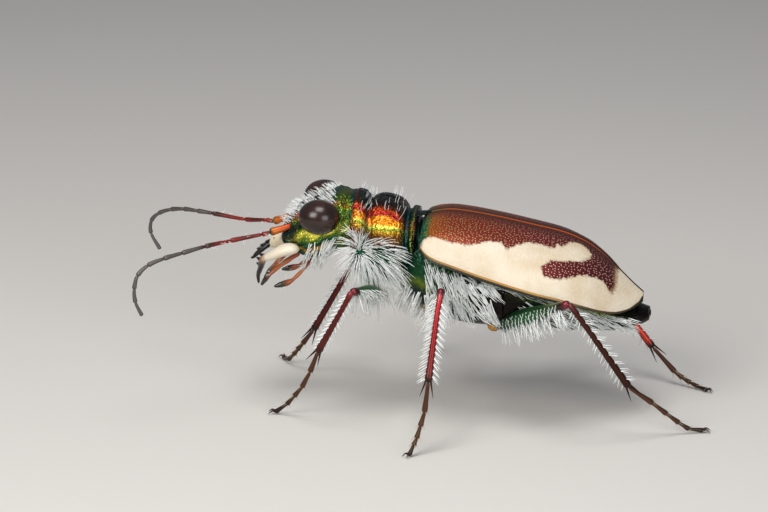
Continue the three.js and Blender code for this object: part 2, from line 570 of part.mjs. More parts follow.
put('head', headSolid, GREEN, 0.4, 0.6);
put('eye_left', eyeLeft, DARK, 0.15, 0);
put('eye_right', eyeLeft.mirror([0, 1, 0]), DARK, 0.15, 0);
put('labrum', carve(labrum, mouthGrown.slice(0, 2)), IVORY, 0.35, 0);
put('mandible_left', mandible(MANDIBLE_LEFT, 0), IVORY, 0.35, 0);
put('mandible_right', mandible(MANDIBLE_RIGHT, 0), IVORY, 0.35, 0);
const palpSides = [['left', (path) => path], ['right', (path) => path.map(mirrored)]];
palpSides.forEach(([side, turned]) => {
  const outer = palp(turned(MAXILLARY), MAXILLARY_RADII, 0);
  const inner = palp(turned(LABIAL), LABIAL_RADII, 0);
  put(`maxillary_palp_${side}`, carve(outer, mouthGrown.slice(0, 2)), COPPER, 0.4, 0);
  put(`labial_palp_${side}`, carve(inner, mouthGrown.slice(2, 4)), COPPER, 0.4, 0);
});
const antennae = { left: antenna(ANTENNA_LEFT), right: antenna(ANTENNA_RIGHT) };
Object.entries(antennae).forEach(([side, pieces]) => {
  Object.entries(pieces).forEach(([name, solid]) => {
    put(`antenna_${name}_${side}`, solid, name === 'scape' ? COPPER : DARK, 0.45, 0.3);
  });
});
put('prothorax', prothoraxSolid, COPPER, 0.35, 0.7);
put('mesothorax', mesoSolid, GREEN, 0.35, 0.6);
put('metathorax', metaSolid, GREEN, 0.35, 0.6);
put('abdomen', abdomenSolid, DARK, 0.4, 0.4);
put('elytron_left', wingLeft, MAROON, 0.5, 0.2);
put('elytron_right', wingLeft.mirror([0, 1, 0]), MAROON, 0.5, 0.2);
Object.entries(legSolids).forEach(([leg, solids]) => {
  put(`coxa_${leg}`, solids.coxa, COPPER, 0.4, 0.5);
  put(`femur_${leg}`, solids.femur, GREEN, 0.4, 0.5);
  put(`tibia_${leg}`, solids.tibia, MAROON, 0.4, 0.3);
  put(`tarsus_${leg}`, solids.tarsus, DARK, 0.45, 0.2);
});

export default group;
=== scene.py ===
# A big sand tiger beetle, life size, standing alert on its six legs.
# Sizes are in millimetres until a mesh is made; +X is toward the tail, -Y the near left side.
import math
import bpy
import numpy as np
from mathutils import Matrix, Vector


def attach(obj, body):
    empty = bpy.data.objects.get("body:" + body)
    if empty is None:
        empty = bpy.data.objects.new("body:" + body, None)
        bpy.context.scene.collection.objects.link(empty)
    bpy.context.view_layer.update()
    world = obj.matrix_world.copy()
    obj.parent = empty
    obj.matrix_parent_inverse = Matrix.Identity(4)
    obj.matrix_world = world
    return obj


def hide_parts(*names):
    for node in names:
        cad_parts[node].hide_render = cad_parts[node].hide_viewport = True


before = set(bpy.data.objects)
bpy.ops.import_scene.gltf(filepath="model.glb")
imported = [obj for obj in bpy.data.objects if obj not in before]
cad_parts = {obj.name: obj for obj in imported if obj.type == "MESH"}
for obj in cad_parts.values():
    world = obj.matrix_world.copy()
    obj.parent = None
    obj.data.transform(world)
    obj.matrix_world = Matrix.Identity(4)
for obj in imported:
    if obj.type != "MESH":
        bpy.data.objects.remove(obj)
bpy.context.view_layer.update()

MM = 0.001
TINY = 1e-12

# body stations: x, half width, top, low, roundness
WING = [(0.12, 2.25, 8.62, 7.75, 2.1), (0.35, 2.6, 8.74, 7.5, 2.1), (0.8, 2.85, 8.87, 7.3, 2.1),
        (1.5, 3.0, 8.92, 7.1, 2.05), (3.0, 3.2, 8.72, 6.66, 2.0), (5.0, 3.3, 8.32, 6.12, 1.95),
        (6.2, 3.22, 8.05, 5.86, 1.85), (7.2, 2.92, 7.64, 5.52, 1.75), (8.0, 2.42, 7.06, 5.2, 1.65),
        (8.6, 1.92, 6.44, 5.03, 1.6), (9.2, 1.2, 5.84, 5.03, 1.6), (9.65, 0.45, 5.44, 5.15, 1.8)]
HEAD = [(-6.02, 0.7, 7.95, 7.4, 2.4), (-5.85, 0.95, 8.2, 7.15, 2.4), (-5.6, 1.1, 8.5, 6.95, 2.4),
        (-5.3, 1.22, 8.85, 6.8, 2.4), (-4.8, 1.38, 9.15, 6.65, 2.4), (-4.2, 1.45, 9.42, 6.7, 2.4),
        (-3.7, 1.5, 9.6, 6.95, 2.4), (-3.2, 1.5, 9.64, 7.1, 2.3), (-2.75, 1.5, 9.52, 7.1, 2.2),
        (-2.4, 1.35, 9.1, 7.2, 2.2)]
PROTHORAX = [(-2.95, 1.62, 9.42, 6.55, 2.3), (-2.75, 1.82, 9.6, 6.15, 2.3), (-2.45, 1.88, 9.54, 5.95, 2.3),
             (-2.15, 1.78, 9.32, 5.8, 2.3), (-1.7, 1.96, 9.43, 5.65, 2.3), (-1.2, 2.02, 9.36, 5.65, 2.3),
             (-0.85, 1.96, 9.2, 5.78, 2.3), (-0.5, 1.78, 8.84, 6.25, 2.3), (-0.3, 1.86, 8.86, 6.6, 2.3),
             (-0.1, 1.9, 8.78, 6.95, 2.3)]
TRUNK = [(-0.85, 1.3, 6.6, 5.4, 2.2), (-0.4, 1.75, 8.2, 5.0, 2.2), (0.2, 2.1, 8.45, 4.6, 2.2),
         (1.0, 2.4, 8.2, 4.25, 2.3), (2.2, 2.55, 8.0, 4.0, 2.3), (3.6, 2.6, 7.8, 3.95, 2.3),
         (5.2, 2.6, 7.3, 3.9, 2.2), (6.6, 2.4, 6.7, 3.85, 2.2), (7.8, 1.95, 5.9, 3.8, 2.1),
         (8.8, 1.45, 5.3, 3.85, 2.1), (9.5, 0.95, 5.0, 4.0, 2.0), (10.0, 0.5, 4.8, 4.25, 2.0)]
THORAX_END = 3.75
SEGMENT_ENDS = [4.75, 5.85, 6.9, 7.85, 8.7, 9.35]

# the maroon of a wing case: x along it, and height on it from rim 0 to seam 1
MAROON = [(0.27, 0.33), (0.5, 0.43), (0.95, 0.43), (1.39, 0.39), (2.15, 0.41),
          (2.66, 0.47), (3.14, 0.54), (3.61, 0.56), (3.9, 0.49), (4.25, 0.57), (4.79, 0.66), (5.3, 0.67),
          (5.65, 0.65), (5.9, 0.65), (5.93, 0.73), (6.16, 0.69), (6.38, 0.78), (6.73, 0.84), (7.14, 0.83),
          (7.46, 0.76), (7.39, 0.67), (7.01, 0.57), (6.38, 0.51), (5.71, 0.46), (5.36, 0.38), (5.52, 0.28),
          (6.09, 0.3), (6.57, 0.35), (7.08, 0.43), (7.65, 0.48), (8.0, 0.47), (8.25, 0.4), (8.38, 0.52),
          (8.36, 0.75), (8.45, 0.97), (8.7, 1.1)]
MAROON_END = 8.36
# the dark front edge of a wing case, and the height of its bronze rim line at each x
MAROON_FRONT = [(-0.3, 1.1), (-0.3, -0.1), (0.16, -0.1), (0.16, 0.1), (0.2, 0.22)]
RIM_LINE = [(0.12, 0.14), (0.37, 0.1), (0.63, 0.08), (1.07, 0.07), (2.2, 0.065), (5.1, 0.055), (6.9, 0.05),
            (7.85, 0.05), (8.55, 0.06), (9.1, 0.08), (9.5, 0.2), (9.62, 0.5)]


def along(stations, column, x):
    """A smooth value read from the stations at each x."""
    table = np.array(stations)
    xs, values = table[:, 0], table[:, column]
    x = np.asarray(x, float)
    i = np.clip(np.searchsorted(xs, x) - 1, 0, len(xs) - 2)
    before, after = np.maximum(i - 1, 0), np.minimum(i + 2, len(xs) - 1)
    span = xs[i + 1] - xs[i]
    t = np.clip((x - xs[i]) / span, 0, 1)
    rise = (values[i + 1] - values[before]) / (xs[i + 1] - xs[before]) * span
    fall = (values[after] - values[i]) / (xs[after] - xs[i]) * span
    return (values[i] * (2 * t**3 - 3 * t**2 + 1) + rise * (t**3 - 2 * t**2 + t)
            + values[i + 1] * (3 * t**2 - 2 * t**3) + fall * (t**3 - t**2))


def on_body(stations, x, turn):
    """Points on a rounded body; turn goes from 0 at the top, over the right side, to 1 below and back."""
    x, turn = np.broadcast_arrays(np.asarray(x, float), np.asarray(turn, float))
    power = 2 / along(stations, 4, x)
    top, low = along(stations, 2, x), along(stations, 3, x)
    s, c = np.sin(turn * math.pi), np.cos(turn * math.pi)
    y = along(stations, 1, x) * np.sign(s) * np.abs(s) ** power
    z = (top + low) / 2 + (top - low) / 2 * np.sign(c) * np.abs(c) ** power
    return np.stack([x, y, z], -1)


def on_wing(x, height):
    """Points on the right wing case; height goes from 0 at the rim to 1 at the seam."""
    x, height = np.broadcast_arrays(np.asarray(x, float), np.asarray(height, float))
    power = 2 / along(WING, 4, x)
    low = along(WING, 3, x)
    angle = height * math.pi / 2
    y = along(WING, 1, x) * np.abs(np.cos(angle)) ** power
    z = low + (along(WING, 2, x) - low) * np.abs(np.sin(angle)) ** power
    return np.stack([x, y, z], -1)


def outward(grid):
    """The outward direction at each point of a grid that closes on itself along its second axis."""
    ahead = np.gradient(grid, axis=0)
    around = np.roll(grid, -1, axis=1) - np.roll(grid, 1, axis=1)
    normal = np.cross(ahead, around)
    normal /= np.linalg.norm(normal, axis=-1, keepdims=True) + TINY
    middle = grid.mean(axis=1, keepdims=True)
    facing = np.sign(((grid - middle) * normal).sum(-1).mean())
    return normal * facing


def unit(vectors):
    vectors = np.asarray(vectors, float)
    return vectors / (np.linalg.norm(vectors, axis=-1, keepdims=True) + TINY)


class Shape:
    """Points, faces and named values gathered for one piece."""

    def __init__(self):
        self.points, self.faces, self.values, self.count = [], [], {}, 0

    def add(self, points, faces, values):
        self.points.append(points)
        self.faces += [tuple(k + self.count for k in face) for face in faces]
        for name, value in values.items():
            self.values.setdefault(name, []).append(value)
        self.count += len(points)

    def rings(self, grid, **values):
        """A closed skin through rings of points, its two ends closed on their centres."""
        rows, around = grid.shape[:2]
        faces = []
        for row in range(rows - 1):
            for k in range(around):
                a, b = row * around + k, row * around + (k + 1) % around
                faces.append((a, b, b + around, a + around))
        first, last = rows * around, rows * around + 1
        for k in range(around):
            faces.append((first, (k + 1) % around, k))
            faces.append((last, (rows - 1) * around + k, (rows - 1) * around + (k + 1) % around))
        points = np.concatenate([grid.reshape(-1, 3), [grid[0].mean(0), grid[-1].mean(0)]])
        if volume(points, faces) <= 0:
            faces = [face[::-1] for face in faces]
        padded = {}
        for name, value in values.items():
            value = np.broadcast_to(np.asarray(value, float), (rows, around))
            padded[name] = np.concatenate([value.reshape(-1), [value[0].mean(), value[-1].mean()]])
        self.add(points, faces, padded)

    def piece(self, name, finish):
        mesh = bpy.data.meshes.new(name)
        mesh.from_pydata((np.concatenate(self.points) * MM).tolist(), [], self.faces)
        for key, parts in self.values.items():
            layer = mesh.attributes.new(key, "FLOAT", "POINT")
            layer.data.foreach_set("value", np.concatenate(parts).astype(np.float32))
        mesh.materials.append(finish)
        mesh.polygons.foreach_set("use_smooth", [True] * len(mesh.polygons))
        mesh.update()
        return place_piece(name, mesh)


def place_piece(name, data):
    thing = bpy.data.objects.new(name, data)
    bpy.context.scene.collection.objects.link(thing)
    return thing


def volume(points, faces):
    """Six times the volume inside the faces: below zero where they point inward."""
    total = 0.0
    for size in {len(face) for face in faces}:
        corners = np.array([face for face in faces if len(face) == size])
        for k in range(1, size - 1):
            a, b, c = points[corners[:, 0]], points[corners[:, k]], points[corners[:, k + 1]]
            total += (a * np.cross(b, c)).sum()
    return total


def smooth_path(points, rows):
    """A smooth run of points through the given ones, evenly spaced."""
    points = np.asarray(points, float)
    if len(points) > 2:
        steps = np.concatenate([[0], np.cumsum(np.linalg.norm(np.diff(points, axis=0), axis=1))])
        padded = np.column_stack([steps, points])
        fine = np.linspace(0, steps[-1], 400)
        points = np.column_stack([along(padded, k + 1, fine) for k in range(3)])
    steps = np.concatenate([[0], np.cumsum(np.linalg.norm(np.diff(points, axis=0), axis=1))])
    marks = np.linspace(0, steps[-1], rows)
    return np.column_stack([np.interp(marks, steps, points[:, k]) for k in range(3)])


def tube_grid(path, radii, sides, flat=1.0):
    """Rings of points round a path; flat squeezes the ring across its second direction."""
    path = np.asarray(path, float)
    heading = unit(np.gradient(path, axis=0))
    side = np.cross([0, 0, 1.0], heading[0])
    if np.linalg.norm(side) < 0.1:
        side = np.array([1.0, 0, 0])
    rings = []
    for p, h, radius in zip(path, heading, radii):
        side = unit(side - h * (side @ h))
        up = np.cross(h, side)
        angle = np.arange(sides) * 2 * math.pi / sides
        rings.append(p + radius * (np.outer(np.cos(angle), side) + flat * np.outer(np.sin(angle), up)))
    return np.array(rings)


def limb(shape, points, radii, rows, sides, flat=1.0):
    """A rounded limb through the points, its ends domed."""
    path = smooth_path(points, rows)
    marks = np.linspace(0, 1, rows)
    size = np.interp(marks, np.linspace(0, 1, len(radii)), radii)
    length = np.linalg.norm(np.diff(path, axis=0), axis=1).sum()
    near = np.minimum(marks, 1 - marks) * length
    dome = np.sqrt(np.clip(1 - (1 - np.clip(near / (size + TINY), 0, 1)) ** 2, 0.02, 1))
    shape.rings(tube_grid(path, size * dome, sides, flat), run=marks[:, None])


# how far from its poles a ball's first and last rings stand, in radians
POLE = 0.02


def ball(shape, centre, radii, rows, sides, **values):
    lift = np.linspace(POLE, math.pi - POLE, rows)[:, None]
    angle = np.arange(sides)[None] * 2 * math.pi / sides
    grid = np.stack([np.cos(lift) + 0 * angle, np.sin(lift) * np.cos(angle),
                     np.sin(lift) * np.sin(angle)], -1)
    shape.rings(grid * np.array(radii) + np.array(centre), **values)


def thorn(shape, root, tip, radii, rows, sides, run):
    """A straight taper from root to tip; radii are those at the root and at the tip."""
    marks = np.linspace(0, 1, rows)[:, None]
    path = root + (tip - root) * marks
    shape.rings(tube_grid(path, radii[1] + (radii[0] - radii[1]) * (1 - marks[:, 0]), sides), run=run)


def hump(value, centre, width):
    """1 where value is at the centre, falling smoothly to 0 away from it."""
    return np.exp(-((value - centre) / width) ** 2)


# nodes
def feed(tree, socket, value):
    """Another node's output, a colour or a plain value goes into a socket."""
    if isinstance(value, bpy.types.NodeSocket):
        tree.links.new(value, socket)
    elif isinstance(value, tuple):
        socket.default_value = (*value, 1)
    else:
        socket.default_value = value


def add_node(tree, kind, feeds, **settings):
    """A new node with its settings made and its inputs fed."""
    node = tree.nodes.new(kind)
    for key, value in settings.items():
        setattr(node, key, value)
    for key, value in feeds.items():
        feed(tree, node.inputs[key], value)
    return node


# finishes
class Finish:
    """A material in the making: its nodes and its main shader."""

    def __init__(self, name):
        self.material = bpy.data.materials.new(name)
        self.material.use_nodes = True
        self.tree = self.material.node_tree
        self.shader = self.tree.nodes["Principled BSDF"]

    def read(self, name):
        return add_node(self.tree, "ShaderNodeAttribute", {}, attribute_name=name).outputs["Fac"]

    def place(self):
        return add_node(self.tree, "ShaderNodeTexCoord", {}).outputs["Object"]

    def noise(self, scale, detail=3):
        feeds = {"Vector": self.place(), "Scale": scale, "Detail": detail}
        return add_node(self.tree, "ShaderNodeTexNoise", feeds).outputs["Fac"]

    def cells(self, scale):
        feeds = {"Vector": self.place(), "Scale": scale}
        return add_node(self.tree, "ShaderNodeTexVoronoi", feeds).outputs["Distance"]

    def sum_of(self, a, b, share):
        """a plus share times b."""
        feeds = {0: b, 1: share, 2: a}
        return add_node(self.tree, "ShaderNodeMath", feeds, operation="MULTIPLY_ADD").outputs[0]

    def product(self, a, b):
        return add_node(self.tree, "ShaderNodeMath", {0: a, 1: b}, operation="MULTIPLY").outputs[0]

    def between(self, value, low, high):
        """0 at low and 1 at high, for values that may lie outside 0 to 1."""
        feeds = {"Value": value, "From Min": low, "From Max": high}
        return add_node(self.tree, "ShaderNodeMapRange", feeds).outputs["Result"]

    def ramp(self, place, stops):
        node = add_node(self.tree, "ShaderNodeValToRGB", {0: place})
        elements = node.color_ramp.elements
        while len(elements) > len(stops):
            elements.remove(elements[-1])
        for k, (position, colour) in enumerate(stops):
            element = elements[k] if k < len(elements) else elements.new(position)
            element.position = position
            element.color = (*colour, 1)
        return node.outputs[0]

    def mix(self, amount, a, b, blend="MIX"):
        feeds = {0: amount, 6: a, 7: b}
        return add_node(self.tree, "ShaderNodeMix", feeds, data_type="RGBA", blend_type=blend).outputs[2]

    def dress(self, colour, rough, metal=0.0):
        for key, value in (("Base Color", colour), ("Roughness", rough), ("Metallic", metal)):
            feed(self.tree, self.shader.inputs[key], value)

    def bump(self, height, depth, strength=1.0):
        feeds = {"Strength": strength, "Distance": depth, "Height": height}
        node = add_node(self.tree, "ShaderNodeBump", feeds)
        feed(self.tree, self.shader.inputs["Normal"], node.outputs["Normal"])


DRIFT_SCALE, DRIFT_DETAIL = 1400, 4
RUN_WANDER = 0.06


def shell_finish(name, bands, ends, wander, grain, rough, depth, metal=0.85):
    """Metallic shell: colour bands from top to belly, end colours along the piece, a fine grain."""
    finish = Finish(name)
    drift = finish.noise(DRIFT_SCALE, DRIFT_DETAIL)
    across = finish.sum_of(finish.read("turn"), drift, wander)
    lengthways = finish.sum_of(finish.read("run"), drift, wander)
    ends = [(min(max(place + wander / 2, 0), 1), share, colour) for place, share, colour in ends]
    body = finish.ramp(across, [(place + wander / 2, colour) for place, colour in bands])
    cover = finish.ramp(lengthways, [(place, (share,) * 3) for place, share, _ in ends])
    tints = finish.ramp(lengthways, [(place, colour) for place, _, colour in ends])
    finish.dress(finish.mix(cover, body, tints), rough, metal)
    finish.bump(finish.cells(grain), depth)
    return finish.material


def plain_finish(name, colour, dark, rough, spots):
    """One colour that wanders a little toward a darker one."""
    finish = Finish(name)
    finish.dress(finish.ramp(finish.noise(spots), [(0.35, dark), (0.65, colour)]), rough)
    return finish.material


def run_finish(name, stops, rough, metal=0.0, spots=4000, depth=0.00001):
    """Colours along the run of a limb."""
    finish = Finish(name)
    drift = finish.noise(spots)
    place = finish.sum_of(finish.read("run"), drift, RUN_WANDER)
    stops = [(min(at + RUN_WANDER / 2, 1), colour) for at, colour in stops]
    finish.dress(finish.ramp(place, stops), rough, metal)
    finish.bump(drift, depth)
    return finish.material


# colours, and the finishes made with them
GRANULES_PER_MM = 7.6
BLACK_BROWN = (0.01, 0.007, 0.006)
DARK_COPPER = (0.06, 0.012, 0.004)
RED_ORANGE = (0.55, 0.06, 0.008)
MAGENTA_RED = (0.38, 0.012, 0.03)
ORANGE_GOLD = (0.85, 0.28, 0.015)
PALE_GOLD = (0.9, 0.8, 0.12)
GOLD = (0.5, 0.27, 0.02)
BROWN_ORANGE = (0.13, 0.045, 0.008)
YELLOW_GREEN = (0.2, 0.27, 0.02)
GREEN = (0.012, 0.09, 0.03)
TEAL = (0.003, 0.06, 0.055)
DEEP_GREEN = (0.004, 0.022, 0.013)
IVORY = (0.7, 0.61, 0.475)

head_finish = shell_finish(
    "head_green",
    [(0.0, DEEP_GREEN), (0.16, BLACK_BROWN), (0.22, DARK_COPPER), (0.25, RED_ORANGE), (0.29, YELLOW_GREEN),
     (0.34, GREEN), (0.42, DEEP_GREEN), (0.46, YELLOW_GREEN), (0.5, PALE_GOLD), (0.53, YELLOW_GREEN),
     (0.57, GREEN), (0.61, DEEP_GREEN), (0.65, GOLD), (0.69, GREEN), (0.78, DEEP_GREEN), (1.0, BLACK_BROWN)],
    [(0.0, 0.95, (0.004, 0.012, 0.02)), (0.12, 0.85, (0.004, 0.016, 0.02)), (0.2, 0.3, DARK_COPPER),
     (0.26, 0.0, GREEN), (0.6, 0.0, GREEN), (0.67, 0.75, GREEN), (0.78, 0.5, YELLOW_GREEN),
     (0.86, 0.7, GREEN), (0.96, 0.85, TEAL)],
    wander=0.22, grain=12000, rough=0.27, depth=0.00004)
# painted light in the collar's bands: the black-brown top is a painted reflection of dark surroundings, and
# the pale gold to gold stripe partway down each side is a painted highlight
collar_finish = shell_finish(
    "collar_copper",
    [(0.0, BLACK_BROWN), (0.11, BLACK_BROWN), (0.16, DARK_COPPER), (0.2, RED_ORANGE), (0.24, MAGENTA_RED),
     (0.27, ORANGE_GOLD), (0.315, ORANGE_GOLD), (0.335, PALE_GOLD), (0.355, YELLOW_GREEN), (0.375, GOLD),
     (0.41, BROWN_ORANGE), (0.45, BROWN_ORANGE), (0.48, DEEP_GREEN), (0.54, GREEN), (0.62, TEAL),
     (0.9, DEEP_GREEN)],
    [(0.0, 0.8, BLACK_BROWN), (0.05, 0.5, MAGENTA_RED), (0.12, 0.1, GREEN), (0.21, 0.25, DEEP_GREEN),
     (0.26, 0.85, TEAL), (0.3, 0.1, TEAL), (0.36, 0.0, GOLD), (0.74, 0.0, GOLD), (0.8, 0.6, DEEP_GREEN),
     (0.86, 0.95, TEAL), (0.92, 0.9, DEEP_GREEN), (0.96, 0.8, YELLOW_GREEN), (1.0, 0.9, BLACK_BROWN)],
    wander=0.09, grain=11000, rough=0.28, depth=0.00005)
trunk_finish = shell_finish(
    "trunk_green",
    [(0.0, DEEP_GREEN), (0.35, DEEP_GREEN), (0.5, GREEN), (0.56, YELLOW_GREEN), (0.62, DEEP_GREEN),
     (0.8, BLACK_BROWN), (1.0, BLACK_BROWN)],
    [(0.0, 0.3, TEAL), (0.3, 0.3, BLACK_BROWN), (0.75, 0.85, BLACK_BROWN), (0.95, 1.0, BLACK_BROWN)],
    wander=0.2, grain=8000, rough=0.3, depth=0.00002)
# painted shade: the belly is nearly black at its front end by the hind hips, where the gap between them lies
# in shade
belly_finish = shell_finish(
    "belly_dark",
    [(0.0, BLACK_BROWN), (0.38, GREEN), (0.46, YELLOW_GREEN), (0.52, DEEP_GREEN), (0.7, BLACK_BROWN),
     (1.0, BLACK_BROWN)],
    [(0.0, 1.0, BLACK_BROWN), (0.16, 0.8, BLACK_BROWN), (0.3, 0.2, TEAL), (0.55, 0.1, DEEP_GREEN),
     (0.78, 0.9, BLACK_BROWN), (1.0, 1.0, BLACK_BROWN)],
    wander=0.1, grain=8000, metal=0.92, rough=0.38, depth=0.00002)
eye_finish = plain_finish("eye_brown", (0.034, 0.012, 0.008), (0.007, 0.004, 0.003), 0.25, 900)
ivory_finish = run_finish(
    "jaw_ivory", [(0.0, IVORY), (0.42, IVORY), (0.52, (0.3, 0.12, 0.03)), (0.6, BLACK_BROWN),
                  (1.0, BLACK_BROWN)], 0.28)
palp_finish = run_finish(
    "palp_amber", [(0.0, (0.22, 0.02, 0.01)), (0.35, (0.42, 0.13, 0.03)), (0.68, (0.3, 0.07, 0.02)),
                   (0.8, (0.03, 0.02, 0.01)), (1.0, (0.02, 0.015, 0.01))], 0.25)
feeler_finish = run_finish(
    "feeler_copper", [(0.0, (0.4, 0.035, 0.008)), (0.07, (0.5, 0.13, 0.015)), (0.1, (0.03, 0.03, 0.01)),
                      (0.14, (0.32, 0.02, 0.012)), (0.22, (0.1, 0.014, 0.01)), (0.29, (0.26, 0.02, 0.012)),
                      (0.35, (0.06, 0.02, 0.014)), (0.4, (0.09, 0.075, 0.068)),
                      (1.0, (0.11, 0.095, 0.09))], 0.38, 0.5)
thigh_finish = run_finish(
    "thigh_green", [(0.0, (0.6, 0.28, 0.03)), (0.05, (0.4, 0.2, 0.03)), (0.1, (0.012, 0.04, 0.016)),
                    (0.5, (0.03, 0.14, 0.045)), (0.84, (0.045, 0.09, 0.03)), (0.92, (0.03, 0.014, 0.016)),
                    (1.0, (0.2, 0.035, 0.045))],
    0.28, 0.8)
shin_finish = run_finish(
    "shin_red", [(0.0, (0.28, 0.04, 0.05)), (0.1, (0.13, 0.01, 0.008)), (0.5, (0.09, 0.01, 0.007)),
                 (0.85, (0.1, 0.012, 0.01)), (1.0, (0.03, 0.01, 0.008))], 0.28, 0.6)
mid_shin_finish = run_finish(
    "shin_bright_red", [(0.0, (0.1, 0.03, 0.035)), (0.06, (0.36, 0.05, 0.055)), (0.16, (0.3, 0.008, 0.01)),
                        (0.6, (0.2, 0.005, 0.006)), (0.85, (0.13, 0.016, 0.013)),
                        (1.0, (0.04, 0.012, 0.008))],
    0.33, 0.6, spots=2500, depth=0.00002)
hind_shin_finish = run_finish(
    "shin_dark", [(0.0, (0.16, 0.04, 0.045)), (0.1, (0.06, 0.012, 0.006)), (1.0, (0.035, 0.009, 0.004))],
    0.36, 0.7)
far_shin_finish = run_finish(
    "shin_green_red", [(0.0, (0.03, 0.12, 0.06)), (0.6, (0.05, 0.1, 0.04)), (0.75, (0.6, 0.06, 0.03)),
                       (0.92, (0.5, 0.05, 0.03)), (1.0, (0.03, 0.01, 0.008))], 0.3, 0.6)
foot_finish = run_finish(
    "foot_brown", [(0.0, (0.09, 0.028, 0.014)), (0.5, (0.08, 0.038, 0.016)), (1.0, (0.03, 0.016, 0.01))],
    0.34, 0.6)
coxa_finish = run_finish(
    "hip_green_gold", [(0.0, (0.02, 0.09, 0.05)), (0.5, (0.04, 0.14, 0.05)), (0.8, (0.55, 0.28, 0.04)),
                       (1.0, (0.05, 0.05, 0.02))], 0.3, 0.8)
bristle_finish = plain_finish("bristle_white", (0.93, 0.94, 0.91), (0.78, 0.81, 0.79), 0.4, 6000)
spine_finish = plain_finish("spine_amber", (0.55, 0.42, 0.28), (0.3025, 0.231, 0.154), 0.4, 3000)


def pored_lip():
    """Ivory lip with two dark pores; the pore attribute is millimetres from the nearest one."""
    finish = Finish("lip_ivory")
    stops = [(0.0, (0.05, 0.025, 0.012)), (0.035, (0.08, 0.04, 0.02)), (0.075, (0.76, 0.65, 0.45))]
    finish.dress(finish.ramp(finish.read("pore"), stops), 0.3)
    return finish.material


MAROON_METAL = 0.4
SMUDGE_WIDTH = 0.25


def wing_granules(finish):
    """Cells laid out along the wing and up its skin, both in millimetres."""
    feeds = {"X": finish.read("length"), "Y": finish.read("arc")}
    flat = add_node(finish.tree, "ShaderNodeCombineXYZ", feeds)
    feeds = {"Vector": flat.outputs[0], "Scale": GRANULES_PER_MM, "Randomness": 0.75}
    cells = add_node(finish.tree, "ShaderNodeTexVoronoi", feeds, voronoi_dimensions="2D")
    return cells.outputs["Distance"]


def wing_ivory(finish, edge):
    """Ivory, brown where it meets the maroon, with faint clouds."""
    clear = finish.between(edge, 0.04, 0.16)
    ivory = finish.mix(clear, (0.2, 0.11, 0.07), IVORY)
    cloud = finish.ramp(finish.noise(700, 4), [(0.4, (1, 1, 1)), (0.75, (0.8, 0.72, 0.6))])
    return finish.mix(1.0, ivory, cloud, "MULTIPLY")


def wing_maroon(finish, length, grains):
    """Maroon, green in front with a painted teal highlight; a pale dot per granule; a coppery line and
    painted shade by the seam.
    """
    # the teal stop near the front is a painted highlight on the dark green shoulder
    ground = finish.ramp(length, [
        (0.0, (0.003, 0.02, 0.015)), (0.035, (0.006, 0.09, 0.07)), (0.055, (0.03, 0.09, 0.02)),
        (0.075, (0.32, 0.06, 0.008)), (0.15, (0.22, 0.025, 0.012)), (0.6, (0.13, 0.014, 0.014)),
        (1.0, (0.05, 0.01, 0.01))])
    dot = finish.ramp(finish.read("run"), [
        (0.0, (0.2, 0.32, 0.05)), (0.3, (0.42, 0.3, 0.1)), (0.7, (0.62, 0.36, 0.28))])
    copper = finish.ramp(finish.read("run"), [
        (0.0, (0.05, 0.16, 0.04)), (0.12, (0.4, 0.09, 0.015)), (0.8, (0.55, 0.09, 0.012)),
        (0.88, (0.12, 0.04, 0.015))])
    seam = finish.read("seam")
    # painted shade by the seam: the maroon darkens and loses its pale dots toward the seam
    clear_of_seam_shade = finish.between(seam, 0.2, 1.1)
    dots = finish.product(finish.between(grains, 0.24, 0.14), clear_of_seam_shade)
    maroon = finish.mix(clear_of_seam_shade, (0.06, 0.012, 0.008), ground)
    maroon = finish.mix(dots, maroon, dot)
    return finish.mix(finish.between(seam, 0.19, 0.14), maroon, copper)


def wing_edges(finish, colour, length):
    """The black seam strip of painted shade, the bronze rim line and the dark turned-in edge under it."""
    rim = finish.read("rim")
    bronze = finish.ramp(length, [
        (0.0, (0.2, 0.13, 0.04)), (0.3, (0.42, 0.2, 0.04)), (0.62, (0.4, 0.21, 0.045)),
        (0.76, (0.08, 0.05, 0.02)), (1.0, (0.03, 0.02, 0.01))])
    # painted shade: a black strip right along the seam
    colour = finish.mix(finish.between(finish.read("seam"), 0.09, 0.065), colour, (0.008, 0.006, 0.005))
    colour = finish.mix(finish.between(rim, 0.02, -0.01), colour, bronze)
    return finish.mix(finish.between(rim, -0.07, -0.095), colour, (0.012, 0.014, 0.006))


def wing_finish():
    """Granular maroon, ivory band, coppery seam with painted shade along it, and bronze rim; all that is read
    but run is millimetres.
    """
    finish = Finish("wing_maroon_ivory")
    ragged = finish.noise(3800, 4)
    grains = wing_granules(finish)
    edge = finish.sum_of(finish.sum_of(finish.read("ivory"), ragged, 0.2), grains, -0.07)
    length = finish.sum_of(finish.read("run"), ragged, 0.05)
    pale = finish.between(edge, 0.06, 0.085)
    colour = finish.mix(pale, wing_maroon(finish, length, grains), wing_ivory(finish, edge))
    behind = finish.between(finish.read("length"), MAROON_END - SMUDGE_WIDTH, MAROON_END)
    smudge = finish.product(behind, finish.between(edge, 0.3, 0.1))
    colour = finish.mix(finish.product(smudge, pale), colour, (0.15, 0.055, 0.012))
    metal = finish.sum_of(MAROON_METAL, pale, -MAROON_METAL)
    finish.dress(wing_edges(finish, colour, length), 0.42, metal)
    finish.shader.inputs["Specular IOR Level"].default_value = 0.3
    finish.bump(grains, 0.00002, 0.6)
    return finish.material


# the bristle field: a tapered bristle stands at every root point and bends along its lie
BRISTLE_SPANS = 4
BRISTLE_SIDES = 3
BRISTLE_TIP = 0.3
TUFT_PATCH = 0.003
random = np.random.default_rng(11)


